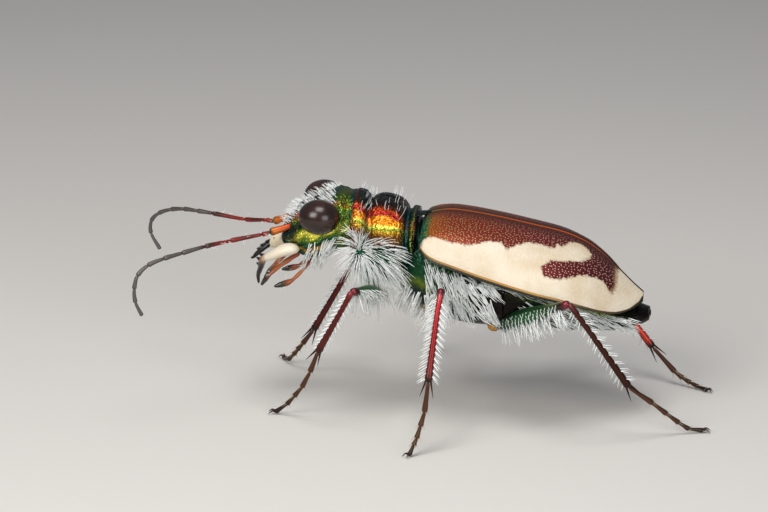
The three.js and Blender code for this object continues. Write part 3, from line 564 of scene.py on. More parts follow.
def bristle_sockets(tree):
    for name, kind in (("Roots", "Geometry"), ("Bristle Radius", "Float"), ("Finish", "Material")):
        tree.interface.new_socket(name, in_out="INPUT", socket_type="NodeSocket" + kind)
    tree.interface.new_socket("Bristles", in_out="OUTPUT", socket_type="NodeSocketGeometry")


def root_value(tree, name, kind="FLOAT"):
    node = add_node(tree, "GeometryNodeInputNamedAttribute", {"Name": name}, data_type=kind)
    return node.outputs["Attribute"]


def one_bristle(tree):
    """A cone one unit long that keeps the height of each of its points as its rise."""
    feeds = {"Vertices": BRISTLE_SIDES, "Side Segments": BRISTLE_SPANS, "Depth": 1.0,
             "Radius Top": BRISTLE_TIP, "Radius Bottom": 1.0}
    cone = add_node(tree, "GeometryNodeMeshCone", feeds, fill_type="NGON")
    place = add_node(tree, "GeometryNodeInputPosition", {})
    split = add_node(tree, "ShaderNodeSeparateXYZ", {0: place.outputs[0]})
    feeds = {"Geometry": cone.outputs["Mesh"], "Name": "rise", "Value": split.outputs["Z"]}
    store = add_node(tree, "GeometryNodeStoreNamedAttribute", feeds, data_type="FLOAT", domain="POINT")
    return store.outputs["Geometry"]


def standing_bristles(tree, given, bristle):
    """Every root gets a bristle, turned to its lie and scaled to its reach and stoutness."""
    feeds = {"Vector": root_value(tree, "lie", "FLOAT_VECTOR")}
    turn = add_node(tree, "FunctionNodeAlignRotationToVector", feeds, axis="Z")
    feeds = {0: given.outputs["Bristle Radius"], 1: root_value(tree, "stout")}
    thick = add_node(tree, "ShaderNodeMath", feeds, operation="MULTIPLY").outputs[0]
    size = add_node(tree, "ShaderNodeCombineXYZ", {"X": thick, "Y": thick, "Z": root_value(tree, "reach")})
    feeds = {"Points": given.outputs["Roots"], "Instance": bristle,
             "Rotation": turn.outputs["Rotation"], "Scale": size.outputs[0]}
    stand = add_node(tree, "GeometryNodeInstanceOnPoints", feeds)
    return add_node(tree, "GeometryNodeRealizeInstances", {"Geometry": stand.outputs[0]}).outputs[0]


def bent_bristles(tree, bristles):
    """Each point moves by its bristle's sag times its rise squared."""
    square = add_node(tree, "ShaderNodeMath", {0: root_value(tree, "rise"), 1: 2.0}, operation="POWER")
    feeds = {0: root_value(tree, "sag", "FLOAT_VECTOR"), "Scale": square.outputs[0]}
    sag = add_node(tree, "ShaderNodeVectorMath", feeds, operation="SCALE")
    feeds = {"Geometry": bristles, "Offset": sag.outputs[0]}
    return add_node(tree, "GeometryNodeSetPosition", feeds).outputs[0]


def bristle_tree():
    tree = bpy.data.node_groups.new("bristle_field", "GeometryNodeTree")
    bristle_sockets(tree)
    given = add_node(tree, "NodeGroupInput", {})
    bristles = bent_bristles(tree, standing_bristles(tree, given, one_bristle(tree)))
    feeds = {"Geometry": bristles, "Material": given.outputs["Finish"]}
    dressed = add_node(tree, "GeometryNodeSetMaterial", feeds).outputs[0]
    add_node(tree, "NodeGroupOutput", {0: dressed})
    return tree


BRISTLES = bristle_tree()
# what each root carries: its name, its kind, where its numbers go and their scale
ROOT_VALUES = (("lie", "FLOAT_VECTOR", "vector", 1), ("sag", "FLOAT_VECTOR", "vector", MM),
               ("reach", "FLOAT", "value", MM), ("stout", "FLOAT", "value", 1))


class Field:
    """Roots, lies and lengths of the bristles of one coat piece, in millimetres."""

    def __init__(self):
        self.rows = {"root": [], "lie": [], "reach": [], "sag": [], "stout": [], "patch": []}

    def add(self, root, lie, reach, sag, stout, patch):
        """The sag is for a bristle one millimetre long, and grows with its reach."""
        root = np.asarray(root, float).reshape(-1, 3)
        count = len(root)
        sag = np.broadcast_to(np.asarray(sag, float), (count, 3)) * np.reshape(reach, (-1, 1))
        self.rows["root"].append(root)
        self.rows["lie"].append(np.broadcast_to(unit(lie), (count, 3)))
        self.rows["reach"].append(np.broadcast_to(reach, count))
        self.rows["sag"].append(sag)
        self.rows["stout"].append(np.broadcast_to(stout, count))
        self.rows["patch"].append(np.broadcast_to(patch, (count, 2)))

    def roots_mesh(self, name):
        """The roots as loose points that carry each bristle's values."""
        rows = {key: np.concatenate(parts) for key, parts in self.rows.items()}
        mesh = bpy.data.meshes.new(name + "_roots")
        mesh.from_pydata((rows["root"] * MM).tolist(), [], [])
        for key, kind, slot, scale in ROOT_VALUES:
            layer = mesh.attributes.new(key, kind, "POINT")
            layer.data.foreach_set(slot, (rows[key] * scale).astype(np.float32).ravel())
        return mesh, rows["patch"]

    def piece(self, name, radius, finish):
        roots, patches = self.roots_mesh(name)
        thing = place_piece(name, roots)
        modifier = thing.modifiers.new("bristle_field", "NODES")
        modifier.node_group = BRISTLES
        for item in BRISTLES.interface.items_tree:
            if item.name == "Bristle Radius":
                modifier[item.identifier] = radius * MM
            elif item.name == "Finish":
                modifier[item.identifier] = finish
        evaluated = thing.evaluated_get(bpy.context.evaluated_depsgraph_get())
        grown = bpy.data.meshes.new_from_object(evaluated)
        thing.modifiers.remove(modifier)
        thing.data = grown
        grown.name = name
        bpy.data.meshes.remove(roots)
        grown.polygons.foreach_set("use_smooth", [True] * len(grown.polygons))
        unwrap_bristles(grown, patches)
        return thing


def unwrap_bristles(mesh, patches):
    """Each bristle's own small patch at its root's place on the skin."""
    each = len(mesh.vertices) // len(patches)
    corner = np.empty(len(mesh.loops), np.int32)
    mesh.loops.foreach_get("vertex_index", corner)
    which, part = corner // each, corner % each
    ring, step = part // BRISTLE_SIDES, part % BRISTLE_SIDES
    place = patches[which] + TUFT_PATCH * np.stack([ring / (BRISTLE_SPANS + 1), step / BRISTLE_SIDES], -1)
    mesh.uv_layers.new(name="OFBake").data.foreach_set("uv", np.clip(place, 0, 1).astype(np.float32).ravel())


STEP_AHEAD, STEP_AROUND = 0.02, 0.01
# how deep the roots of a coat stand under the skin
SUNK = 0.05


def body_roots(stations, count, x, turn):
    """Random roots on both sides of a body, with their outward directions and their places on its unwrap."""
    xs = random.uniform(*x, count)
    turns = random.uniform(*turn, count)
    root = on_body(stations, xs, turns)
    ahead = on_body(stations, xs + STEP_AHEAD, turns) - root
    around = on_body(stations, xs, turns + STEP_AROUND) - root
    out = unit(np.cross(around, ahead))
    middle = (along(stations, 2, xs) + along(stations, 3, xs)) / 2
    out *= np.sign((out * (root - np.stack([xs, 0 * xs, middle], -1))).sum(-1))[:, None]
    side = np.where(np.arange(count) % 2, 1.0, -1.0)
    flip = np.stack([np.ones(count), side, np.ones(count)], -1)
    first, last = stations[0][0], stations[-1][0]
    patch = np.stack([0.04 + 0.9 * (xs - first) / (last - first), 0.5 + side * (0.03 + 0.42 * turns)], -1)
    return root * flip, out * flip, side, patch


def bristles_on_body(field, stations, count, x, turn, way, lift, reach, sag, stout, gather, stray=0.16):
    """Bristles lying along way, raised off the skin by lift, their tips gathered into wisps."""
    root, out, side, patch = body_roots(stations, count, x, turn)
    way = np.array(way, float) * np.stack([np.ones(count), side, np.ones(count)], -1)
    lie = unit(unit(way) + lift * out + random.normal(0, stray, (count, 3)))
    lie, reach = wisps(root, lie, random.uniform(*reach, count), gather, 8)
    field.add(root - out * SUNK, lie, reach, sag, stout, patch)


def wisps(root, lie, reach, share, size):
    """Bristles drawn together by their tips into wisps of about size bristles."""
    tips = root + unit(lie) * np.reshape(reach, (-1, 1))
    heads = random.choice(len(root), max(len(root) // size, 1), replace=False)
    near = np.argmin(np.linalg.norm(root[:, None] - root[None, heads], axis=2), axis=1)
    for k in range(len(heads)):
        group = near == k
        if group.any():
            tips[group] += share * (tips[group].mean(axis=0) - tips[group])
    lie = tips - root
    return unit(lie), np.linalg.norm(lie, axis=1)


# how much a body's rows crowd toward its two ends, and over what share and to what size it narrows there
ROWS_CROWDED = 0.25
END_SHARE = 0.012
END_SIZE = 0.45


def body_piece(name, stations, rows, around, finish, detail, start=None, end=None):
    """A closed skin over a body's stations, pushed in and out by its detail."""
    first = stations[0][0] if start is None else start
    last = stations[-1][0] if end is None else end
    crowded = (1 - np.cos(np.linspace(0, math.pi, rows))) / 2
    marks = crowded * ROWS_CROWDED + np.linspace(0, 1, rows) * (1 - ROWS_CROWDED)
    x = (first + (last - first) * marks)[:, None]
    turn = (np.arange(around) * 2 / around)[None]
    folded = np.where(turn > 1, 2 - turn, turn) + 0 * x
    grid = on_body(stations, x, turn)
    run = (grid[..., 0] - first) / (last - first)
    grid = grid + outward(grid) * detail(grid, folded)[..., None]
    middle = grid.mean(axis=1, keepdims=True)
    close = np.clip(np.minimum(run, 1 - run) / END_SHARE, END_SIZE, 1)[..., None]
    shape = Shape()
    shape.rings(middle + (grid - middle) * close, run=run, turn=folded)
    return shape.piece(name, finish)


def finish_piece(thing, slot, *nodes):
    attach(thing, "root")
    if nodes:
        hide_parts(*nodes)


# head: a broad brow between the eyes, fine wrinkles on the cheeks
def head_detail(grid, turn):
    x, y, z = grid[..., 0], np.abs(grid[..., 1]), grid[..., 2]
    hollow = -0.1 * hump(x, -4.5, 0.5) * hump(y, 0, 0.45) * (turn < 0.5)
    wrinkles = 0.032 * np.sin(84 * turn + 8 * x + np.sin(6 * x)) * (turn > 0.1) * (turn < 0.8)
    from_eye = ((x + 4.28) / 1.0) ** 2 + ((z - 8.9) / 0.85) ** 2
    rim = 0.07 * np.exp(-(from_eye - 1) ** 2 / 0.05) * (turn < 0.6)
    neck = -0.08 * hump(x, -3.05, 0.15)
    return hollow + wrinkles + rim + neck


finish_piece(body_piece("head_skin", HEAD, 130, 144, head_finish, head_detail), "head_shell", "head")

# eyes
EYES = {"left": (-4.27, -1.48, 8.79), "right": (-4.4, 1.48, 8.84)}
EYE_RADII = (0.9, 0.82, 0.75)
for word, centre in EYES.items():
    eye = Shape()
    ball(eye, centre, EYE_RADII, 56, 72)
    finish_piece(eye.piece(f"eye_globe_{word}", eye_finish), "eye", f"eye_{word}")

# upper lip with its small teeth, turned a little about its own middle
LIP_YAW = math.radians(9)
LIP_MIDDLE = -6.2
LIP_THICK = 0.08
LIP_PORES = (7, [14, 34])


def lip_row(t):
    """One ring of the lip, t from its base at 0 to its toothed edge at 1."""
    across = np.linspace(-1, 1, 49)
    teeth = 0.09 * hump(across, 0, 0.12) + 0.06 * hump(np.abs(across), 0.42, 0.1)
    base = np.stack([-6.0 + 0.28 * across**2, 0.9 * across, 7.8 - 0.1 * across**2], -1)
    edge = np.stack([-6.5 + 0.6 * across**2 - 0.6 * teeth, 0.8 * across, 6.98 + 0.3 * across**2 - teeth], -1)
    row = base + (edge - base) * t
    row[:, 0] -= 0.22 * math.sin(t * math.pi) * (1 - 0.4 * across**2)
    thick = LIP_THICK * math.sqrt(max(1 - t**4, 0.04))
    shift = np.array([-0.75 * thick, 0, 0.66 * thick])
    ring = np.concatenate([row + shift, (row - shift)[::-1]])
    x, y = ring[:, 0] - LIP_MIDDLE, ring[:, 1]
    turned_x = LIP_MIDDLE + x * math.cos(LIP_YAW) - y * math.sin(LIP_YAW)
    turned_y = x * math.sin(LIP_YAW) + y * math.cos(LIP_YAW)
    return np.stack([turned_x, turned_y, ring[:, 2]], -1)


lip = Shape()
lip_grid = np.array([lip_row(t) for t in np.linspace(0, 1, 16)])
pore = np.linalg.norm(lip_grid[:, :, None] - lip_grid[LIP_PORES], axis=3).min(axis=2)
lip.rings(lip_grid, pore=np.clip(pore, 0, 1))
finish_piece(lip.piece("upper_lip", pored_lip()), "ivory", "labrum")

# jaws: a broad ivory base and a dark hooked blade with inner teeth
JAWS = {
    "left": [(-5.15, -1.32, 7.3), (-5.7, -1.42, 7.28), (-6.3, -1.25, 6.98), (-6.75, -0.92, 6.68),
             (-6.95, -0.5, 6.15), (-7.1, -0.28, 5.7), (-7.08, -0.25, 5.32)],
    "right": [(-5.15, 1.32, 7.3), (-5.7, 1.42, 7.28), (-6.35, 1.28, 6.98), (-6.85, 0.98, 6.72),
              (-7.2, 0.55, 6.5), (-7.38, 0.15, 6.38), (-7.42, -0.05, 6.45)],
}
JAW_RADII = [0.34, 0.42, 0.36, 0.25, 0.19, 0.15, 0.05]
JAW_FLAT = 0.62
JAW_TOOTH_RADII = (0.16, 0.02)
# each inner tooth: its place along the jaw, and its length
JAW_TEETH = [(0.5, 0.5), (0.6, 0.46), (0.7, 0.36)]
for word, path in JAWS.items():
    jaw = Shape()
    limb(jaw, path, JAW_RADII, 60, 24, JAW_FLAT)
    inward = 1 if word == "left" else -1
    ridge = smooth_path(path, 101)
    for t, length in JAW_TEETH:
        base = ridge[int(t * 100)]
        tip = base + np.array([-0.3, inward * length * 0.6, 0.06]) * length / 0.45
        thorn(jaw, base, tip, JAW_TOOTH_RADII, 8, 10, 0.7)
    finish_piece(jaw.piece(f"jaw_{word}", ivory_finish), "ivory", f"mandible_{word}")

# palps
MAXILLARY = [(-5.2, -0.95, 7.0), (-5.87, -0.85, 6.5), (-6.35, -0.7, 6.08), (-6.75, -0.58, 5.62),
             (-6.95, -0.5, 5.32)]
LABIAL = [(-4.7, -0.5, 6.62), (-5.05, -0.75, 6.2), (-5.42, -1.0, 5.85), (-5.62, -1.1, 5.72),
          (-6.28, -1.25, 5.52)]
MAXILLARY_RADII = [0.12, 0.1, 0.12, 0.09, 0.11, 0.08, 0.11, 0.05]
LABIAL_RADII = [0.07, 0.08, 0.06, 0.09, 0.07, 0.14, 0.13, 0.05]


def mirrored(path, side):
    return [(x, side * y, z) for x, y, z in path]


for side, word in ((1, "left"), (-1, "right")):
    for path, radii, name, node in ((MAXILLARY, MAXILLARY_RADII, "outer_palp", "maxillary_palp"),
                                    (LABIAL, LABIAL_RADII, "inner_palp", "labial_palp")):
        palp = Shape()
        limb(palp, mirrored(path, side), radii, 48, 14)
        finish_piece(palp.piece(f"{name}_{word}", palp_finish), "palp", f"{node}_{word}")

# feelers of eleven joints, each swelling toward its tip
FEELERS = {
    "left": [(-5.55, -0.86, 8.18), (-6.43, -1.2, 7.96), (-6.76, -1.35, 7.9), (-8.05, -2.0, 7.77),
             (-9.05, -2.7, 7.69), (-9.95, -3.3, 7.55), (-10.67, -3.8, 7.43), (-11.28, -4.2, 7.23),
             (-11.69, -4.4, 6.83), (-11.83, -4.5, 6.26), (-11.79, -4.5, 5.67), (-11.54, -4.4, 5.05)],
    "right": [(-5.6, 0.86, 8.2), (-6.58, 1.2, 7.75), (-6.91, 1.35, 7.73), (-8.02, 2.2, 7.48),
              (-9.58, 2.9, 7.5), (-10.3, 3.2, 7.5), (-10.95, 3.55, 7.46), (-11.6, 3.95, 7.3),
              (-12.2, 4.2, 7.03), (-12.58, 4.4, 6.6), (-12.62, 4.5, 6.0), (-12.21, 4.4, 5.29)],
}
FEELER_RADII = [0.18, 0.11, 0.11, 0.11, 0.112, 0.112, 0.11, 0.108, 0.104, 0.1, 0.092]


def feeler_joint(shape, stretch, order):
    marks = np.linspace(0, 1, 22)
    steps = np.linspace(0, 1, len(stretch))
    path = np.column_stack([np.interp(marks, steps, stretch[:, k]) for k in range(3)])
    radius = FEELER_RADII[order] * (0.72 + 0.32 * marks**1.5)
    radius[:2] *= (0.55, 0.85)
    radius[-2:] *= (0.9, 0.6)
    run = (order + marks) / len(FEELER_RADII)
    shape.rings(tube_grid(path, radius, 14), run=run[:, None])


for word, joints in FEELERS.items():
    feeler = Shape()
    fine = smooth_path(joints, 401)
    steps = [int(np.argmin(np.linalg.norm(fine - np.array(joint), axis=1))) for joint in joints]
    for order in range(len(FEELER_RADII)):
        feeler_joint(feeler, fine[steps[order]:steps[order + 1] + 1], order)
    nodes = [f"antenna_{part}_{word}" for part in ("scape", "base", "middle", "tip")]
    finish_piece(feeler.piece(f"feeler_{word}", feeler_finish), "feeler", *nodes)


# collar shield: front and rear cross furrows, a fine middle line, a raised side edge
def collar_detail(grid, turn):
    x, y = grid[..., 0], grid[..., 1]
    front = -0.12 * hump(x - 0.25 * turn, -2.18, 0.09) * (turn < 0.55)
    rear = -0.11 * hump(x, -0.5, 0.08) * (turn < 0.6)
    middle = -0.05 * hump(y, 0, 0.06) * (turn < 0.3) * np.exp(-((x + 1.4) / 0.6) ** 4)
    wrinkles = 0.01 * np.sin(26 * x + 5 * np.sin(30 * turn)) * (turn < 0.6)
    side_edge = 0.05 * hump(turn - 0.02 * np.sin(3 * x), 0.455, 0.012)
    return front + rear + middle + wrinkles + side_edge


collar = body_piece("collar_shield", PROTHORAX, 190, 180, collar_finish, collar_detail)
finish_piece(collar, "collar_shell", "prothorax")


# trunk under the wing cases, its plates marked by two slanted seams
def trunk_detail(grid, turn):
    x = grid[..., 0]
    seams = hump(x - 0.8 * (turn - 0.5), 0.35, 0.06) + hump(x - 1.2 * (turn - 0.6), 1.9, 0.06)
    return -0.06 * seams - 0.05 * (turn < 0.35)


OVERLAP = 0.05
trunk = body_piece("trunk_skin", TRUNK, 150, 120, trunk_finish, trunk_detail, end=THORAX_END + OVERLAP)
finish_piece(trunk, "trunk_shell", "mesothorax", "metathorax")


# belly of overlapping plates
def belly_detail(grid, turn):
    x = grid[..., 0]
    plates = np.zeros_like(x)
    for end in SEGMENT_ENDS:
        plates -= 0.07 * np.exp(-np.clip(x - end, 0, None) / 0.12) * (x > end)
    return plates - 0.1 * (turn < 0.4)


belly = body_piece("belly_skin", TRUNK, 190, 110, belly_finish, belly_detail, start=THORAX_END - OVERLAP)
finish_piece(belly, "belly_shell", "abdomen")

# the small shield between the wing bases
shield = Shape()
rows = np.linspace(0, 1, 20)[:, None]
around = np.arange(24) * math.pi / 12
half_width = 0.42 * (1 - rows) ** 0.8 + 0.02
crown = 0.09 * (1 - rows * 0.6)
grid = np.stack([-0.25 + rows + 0 * around, half_width * np.cos(around),
                 8.62 + 0.2 * rows + crown * np.sin(around)], -1)
shield.rings(grid, run=rows, turn=0.2)
finish_piece(shield.piece("back_shield", trunk_finish), "trunk_shell", "mesothorax")

# wing cases
WING_ROWS, WING_AROUND, WING_THICK = 230, 110, 0.16
SEAM_GAP = 0.012
MM_PER_HEIGHT = 3.4


def maroon_distance(x, height):
    """Signed distance in millimetres to the edge of the maroon: above zero in the ivory."""
    stretch = [1, MM_PER_HEIGHT]
    corners = np.array(MAROON_FRONT + MAROON) * stretch
    points = np.stack([x, height], -1).reshape(-1, 2) * stretch
    best = np.full(len(points), 9.0)
    crossings = np.zeros(len(points), int)
    for start, end in zip(corners, np.roll(corners, -1, axis=0)):
        step = end - start
        t = np.clip(((points - start) @ step) / (step @ step), 0, 1)
        best = np.minimum(best, np.linalg.norm(points - start - t[:, None] * step, axis=1))
        level = (start[1] > points[:, 1]) != (end[1] > points[:, 1])
        where = start[0] + (points[:, 1] - start[1]) * step[0] / (step[1] + TINY)
        crossings += level & (points[:, 0] < where)
    return np.where(crossings % 2, -best, best).reshape(x.shape)


def lengths_up(grid):
    """Millimetres up the skin from the first point of each row."""
    steps = np.linalg.norm(np.diff(grid, axis=1), axis=2)
    return np.concatenate([np.zeros((len(grid), 1)), np.cumsum(steps, axis=1)], axis=1)


def spread(outer_values, inner_value):
    """Values on the outer skin, and one value on the inner skin."""
    return np.concatenate([outer_values, np.full(outer_values.shape, inner_value)], axis=1)


def wing_skins(x, height):
    """The outer skin, with a raised seam and rim, and the inner skin under it."""
    outer, inner = on_wing(x, height), on_wing(x, height)
    outer[..., 2] += 0.035 * hump(height, 0.985, 0.012)
    outer[..., 1] += 0.05 * hump(height, 0, 0.03)
    outer[..., 1] = np.maximum(outer[..., 1], SEAM_GAP)
    front = np.clip((x - WING[0][0]) / 0.25, 0, 1)
    outer[..., 2] -= 0.12 * (1 - front) ** 2
    inner[..., 1] = np.clip(inner[..., 1] - WING_THICK * (1 - 0.5 * height), SEAM_GAP, None)
    inner[..., 2] = np.maximum(inner[..., 2] - WING_THICK, along(WING, 3, x))
    return outer, inner


def wing_case(side, word, surface):
    x = np.linspace(WING[0][0], WING[-1][0], WING_ROWS)[:, None]
    height = np.linspace(0, 1, WING_AROUND)[None]
    outer, inner = wing_skins(x, height)
    ring = np.concatenate([outer, inner[:, ::-1]], axis=1)
    arc = lengths_up(on_wing(x, height))
    rim_height = np.interp(x[:, 0], *np.array(RIM_LINE).T)
    rim_arc = np.array([np.interp(h, height[0], row) for h, row in zip(rim_height, arc)])[:, None]
    marking = maroon_distance(x + 0 * height, height + 0 * x)
    run = (x - x[0]) / (x[-1] - x[0])
    wing = Shape()
    wing.rings(ring * [1, side, 1], run=spread(run + 0 * arc, 0.9), length=spread(x + 0 * arc, 9.0),
               arc=spread(arc, 0.0), seam=spread(arc[:, -1:] - arc, 0.0), rim=spread(arc - rim_arc, -1.0),
               ivory=spread(marking, -1.0))
    finish_piece(wing.piece(f"wing_case_{word}", surface), "wing_case", f"elytron_{word}")


wing_surface = wing_finish()
wing_case(-1, "left", wing_surface)
wing_case(1, "right", wing_surface)


# legs: hip, thigh, shin and five-jointed foot with claws
def leg_points(hip, thigh, knee, shin, ankle, foot, claws, finish):
    """The paths of one leg's parts, which meet at the knee and at the ankle."""
    return dict(hip=hip, thigh=[*thigh, knee], shin=[knee, shin, ankle], foot=[ankle, *foot],
                claws=claws, finish=finish)


LEGS = {
    "fore_left": leg_points(
        hip=[(-1.9, -0.75, 6.3), (-1.62, -1.2, 5.3)], thigh=[(-1.6, -1.35, 5.3), (-2.05, -2.9, 5.95)],
        knee=(-2.56, -4.1, 6.33), shin=(-2.88, -4.0, 5.7), ankle=(-4.14, -3.3, 3.28),
        foot=[(-4.5, -3.02, 2.3), (-4.89, -2.75, 1.5), (-5.25, -2.55, 1.0), (-5.6, -2.35, 0.55),
              (-6.12, -2.2, 0.12)],
        claws=[(-6.42, -2.4, 0.05), (-6.45, -1.98, 0.05)], finish=shin_finish),
    "fore_right": leg_points(
        hip=[(-1.9, 0.75, 6.3), (-1.62, 1.2, 5.3)], thigh=[(-1.6, 1.35, 5.3), (-2.5, 2.7, 5.5)],
        knee=(-3.5, 3.7, 5.1), shin=(-3.76, 3.7, 4.52), ankle=(-5.2, 3.6, 1.95),
        foot=[(-5.7, 3.8, 1.25), (-5.95, 4.0, 0.9), (-6.15, 4.2, 0.6), (-6.45, 4.6, 0.2), (-6.75, 5.15, 0.1)],
        claws=[(-7.0, 5.3, 0.05), (-6.75, 5.52, 0.05)], finish=shin_finish),
    "mid_left": leg_points(
        hip=[(0.3, -0.8, 5.3), (0.65, -1.35, 4.7)], thigh=[(0.7, -1.4, 4.7), (1.05, -3.3, 5.85)],
        knee=(1.32, -5.0, 6.76), shin=(1.2, -5.4, 5.9), ankle=(0.92, -6.4, 3.17),
        foot=[(0.78, -6.5, 1.89), (0.62, -6.6, 1.3), (0.47, -6.7, 0.79), (0.35, -6.78, 0.5),
              (0.18, -6.88, 0.1)],
        claws=[(-0.12, -7.0, 0.05), (0.1, -7.2, 0.05)], finish=mid_shin_finish),
    "mid_right": leg_points(
        hip=[(0.3, 0.8, 5.3), (0.65, 1.35, 4.7)], thigh=[(0.7, 1.4, 4.7), (1.0, 3.3, 5.85)],
        knee=(1.2, 5.0, 6.6), shin=(1.0, 5.4, 5.7), ankle=(0.45, 6.4, 3.05),
        foot=[(0.28, 6.5, 1.9), (0.15, 6.58, 1.3), (0.05, 6.65, 0.8), (-0.02, 6.72, 0.5), (-0.1, 6.82, 0.1)],
        claws=[(-0.42, 6.95, 0.05), (-0.15, 7.15, 0.05)], finish=mid_shin_finish),
    "hind_left": leg_points(
        hip=[(2.4, -0.7, 4.9), (3.2, -1.3, 4.25)], thigh=[(3.3, -1.45, 4.15), (5.2, -3.3, 5.35)],
        knee=(6.69, -4.8, 6.33), shin=(7.2, -4.65, 5.6), ankle=(9.26, -4.0, 2.43),
        foot=[(10.25, -3.5, 1.59), (10.85, -3.2, 1.02), (11.37, -2.95, 0.55), (11.8, -2.78, 0.22),
              (12.4, -2.6, 0.12)],
        claws=[(12.7, -2.78, 0.05), (12.72, -2.42, 0.05)], finish=hind_shin_finish),
    "hind_right": leg_points(
        hip=[(2.4, 0.7, 4.9), (3.2, 1.3, 4.25)], thigh=[(3.3, 1.45, 4.15), (5.3, 3.3, 4.85)],
        knee=(7.04, 4.9, 5.1), shin=(7.5, 4.75, 4.5), ankle=(10.0, 4.0, 1.55),
        foot=[(11.02, 3.5, 0.6), (11.35, 3.35, 0.4), (11.7, 3.15, 0.26), (12.05, 2.95, 0.15),
              (12.45, 2.65, 0.12)],
        claws=[(12.7, 2.68, 0.05), (12.66, 2.42, 0.05)], finish=far_shin_finish),
}
HIP_RADII = [0.5, 0.52, 0.42, 0.3]
HIP_KNOB = [0.3, 0.28, 0.26]
THIGH_RADII = [0.2, 0.34, 0.4, 0.38, 0.3, 0.22, 0.19]
THIGH_STOUT = {"fore": 0.85, "mid": 0.88, "hind": 0.94}
SHIN_RADII = [0.14, 0.12, 0.125, 0.135, 0.15, 0.18]
SPUR = 0.85
SPUR_RADII = (0.058, 0.008)
FOOT_RADIUS = 0.135
FOOT_JOINTS = 5
FOOT_JOINT_ENDS = (0.5, 0.7)
CLAW_RISE = 0.1


def side_of(name):
    return -1 if "left" in name else 1


def hip_piece(leg, parts):
    hip = Shape()
    limb(hip, parts["hip"], HIP_RADII, 26, 24)
    knob = np.array(parts["thigh"][0]) + [0, -0.04 * side_of(leg), 0]
    ball(hip, knob, HIP_KNOB, 16, 20, run=0.78)
    finish_piece(hip.piece(f"hip_{leg}", coxa_finish), "collar_shell", f"coxa_{leg}")


def thigh_piece(leg, parts, stout):
    thigh = Shape()
    limb(thigh, parts["thigh"], [size * stout for size in THIGH_RADII], 56, 24)
    finish_piece(thigh.piece(f"thigh_{leg}", thigh_finish), "thigh", f"femur_{leg}")


def shin_piece(leg, parts, down, fork):
    """A shin that ends in two spurs, one to each side of the foot."""
    shin = Shape()
    limb(shin, parts["shin"], SHIN_RADII, 56, 16)
    for way in (-1, 1):
        root = parts["shin"][2] - down * 0.15 + fork * way * 0.08
        tip = root + down * SPUR * 0.9 + fork * way * SPUR * 0.24
        thorn(shin, root, tip, SPUR_RADII, 7, 8, 0.98)
    finish_piece(shin.piece(f"shin_{leg}", parts["finish"]), "shin", f"tibia_{leg}")


def foot_piece(leg, parts):
    foot = Shape()
    joints = np.array(parts["foot"])
    marks = np.linspace(0, 1, 14)
    for k in range(FOOT_JOINTS):
        radius = FOOT_RADIUS * (0.6 + 0.42 * marks**1.6) * (1 - 0.04 * k)
        radius[[0, -1]] *= FOOT_JOINT_ENDS
        path = joints[k] + (joints[k + 1] - joints[k]) * marks[:, None]
        foot.rings(tube_grid(path, radius, 12), run=((k + marks) / FOOT_JOINTS)[:, None])
    marks = np.linspace(0, 1, 9)
    for tip in parts["claws"]:
        path = joints[-1] + (np.array(tip) - joints[-1]) * marks[:, None]
        path[:, 2] += CLAW_RISE * np.sin(marks * math.pi)
        foot.rings(tube_grid(path, 0.055 * (1 - marks) + 0.01, 8), run=0.97)
    finish_piece(foot.piece(f"foot_{leg}", foot_finish), "foot", f"tarsus_{leg}")


# bristles of the legs
LEG_SPOTS = 201
FRINGE_BRISTLES = {"fore": 44, "mid": 84, "hind": 110}
FRINGE_LEAN = {"fore": -0.15, "mid": -0.15, "hind": 0.45}
THIGH_ROWS = [0.9, 1.3, 1.7, 2.1, -0.9, -1.3, -1.7, -2.1]
THIGH_ROW_LEAN = {"fore": -0.5, "mid": -0.5, "hind": 0.5}
SHIN_ROWS = [0.0, 0.4, -0.4, math.pi, math.pi + 0.4, math.pi - 0.4]
SHIN_SPINE_STEP = {"fore": 16, "mid": 13, "hind": 19}
SHIN_SPINE_REACH = {"fore": 0.3, "mid": 0.46, "hind": 0.4}
FOOT_BRISTLES = 6
FOOT_BRISTLE_LOW = 0.03


def leg_patch(order, spot, across):
    """Places on the coat's unwrap, along a leg part and in the leg's own band across."""
    return np.stack([0.05 + 0.9 * spot / (LEG_SPOTS - 1), across + 0.15 * order + 0 * spot], -1)


def thigh_skin(parts, stout):
    """Places along a thigh, its headings, the ways down and across, and its thickness there."""
    path = smooth_path(parts["thigh"], LEG_SPOTS)
    heading = unit(np.gradient(path, axis=0))
    down = unit(np.array([0, 0, -1.0]) + heading * heading[:, 2:3])
    marks = np.arange(LEG_SPOTS) / (LEG_SPOTS - 1)
    thick = np.interp(marks, np.linspace(0, 1, len(THIGH_RADII)), THIGH_RADII) * stout
    return path, heading, down, np.cross(heading, down), thick[:, None]


def thigh_fringe(order, pair, skin):
    """The white fringe under the thigh, gathered into wisps."""
    path, heading, down, across, thick = skin
    count = FRINGE_BRISTLES[pair]
    spot = random.integers(16, 182, count)
    turn = random.uniform(-0.8, 0.8, count)
    out = down[spot] * np.cos(turn)[:, None] + across[spot] * np.sin(turn)[:, None]
    lie = out * 0.8 + heading[spot] * FRINGE_LEAN[pair] + random.normal(0, 0.12, (count, 3))
    root = path[spot] + out * thick[spot] * 0.85
    lie, reach = wisps(root, lie, random.uniform(0.65, 1.0, count), 0.4, 5)
    patch = leg_patch(order, spot, 0.03 + 0.03 * (turn + 1))
    leg_field.add(root, lie, reach, (0, 0, -0.15), 1.25, patch)


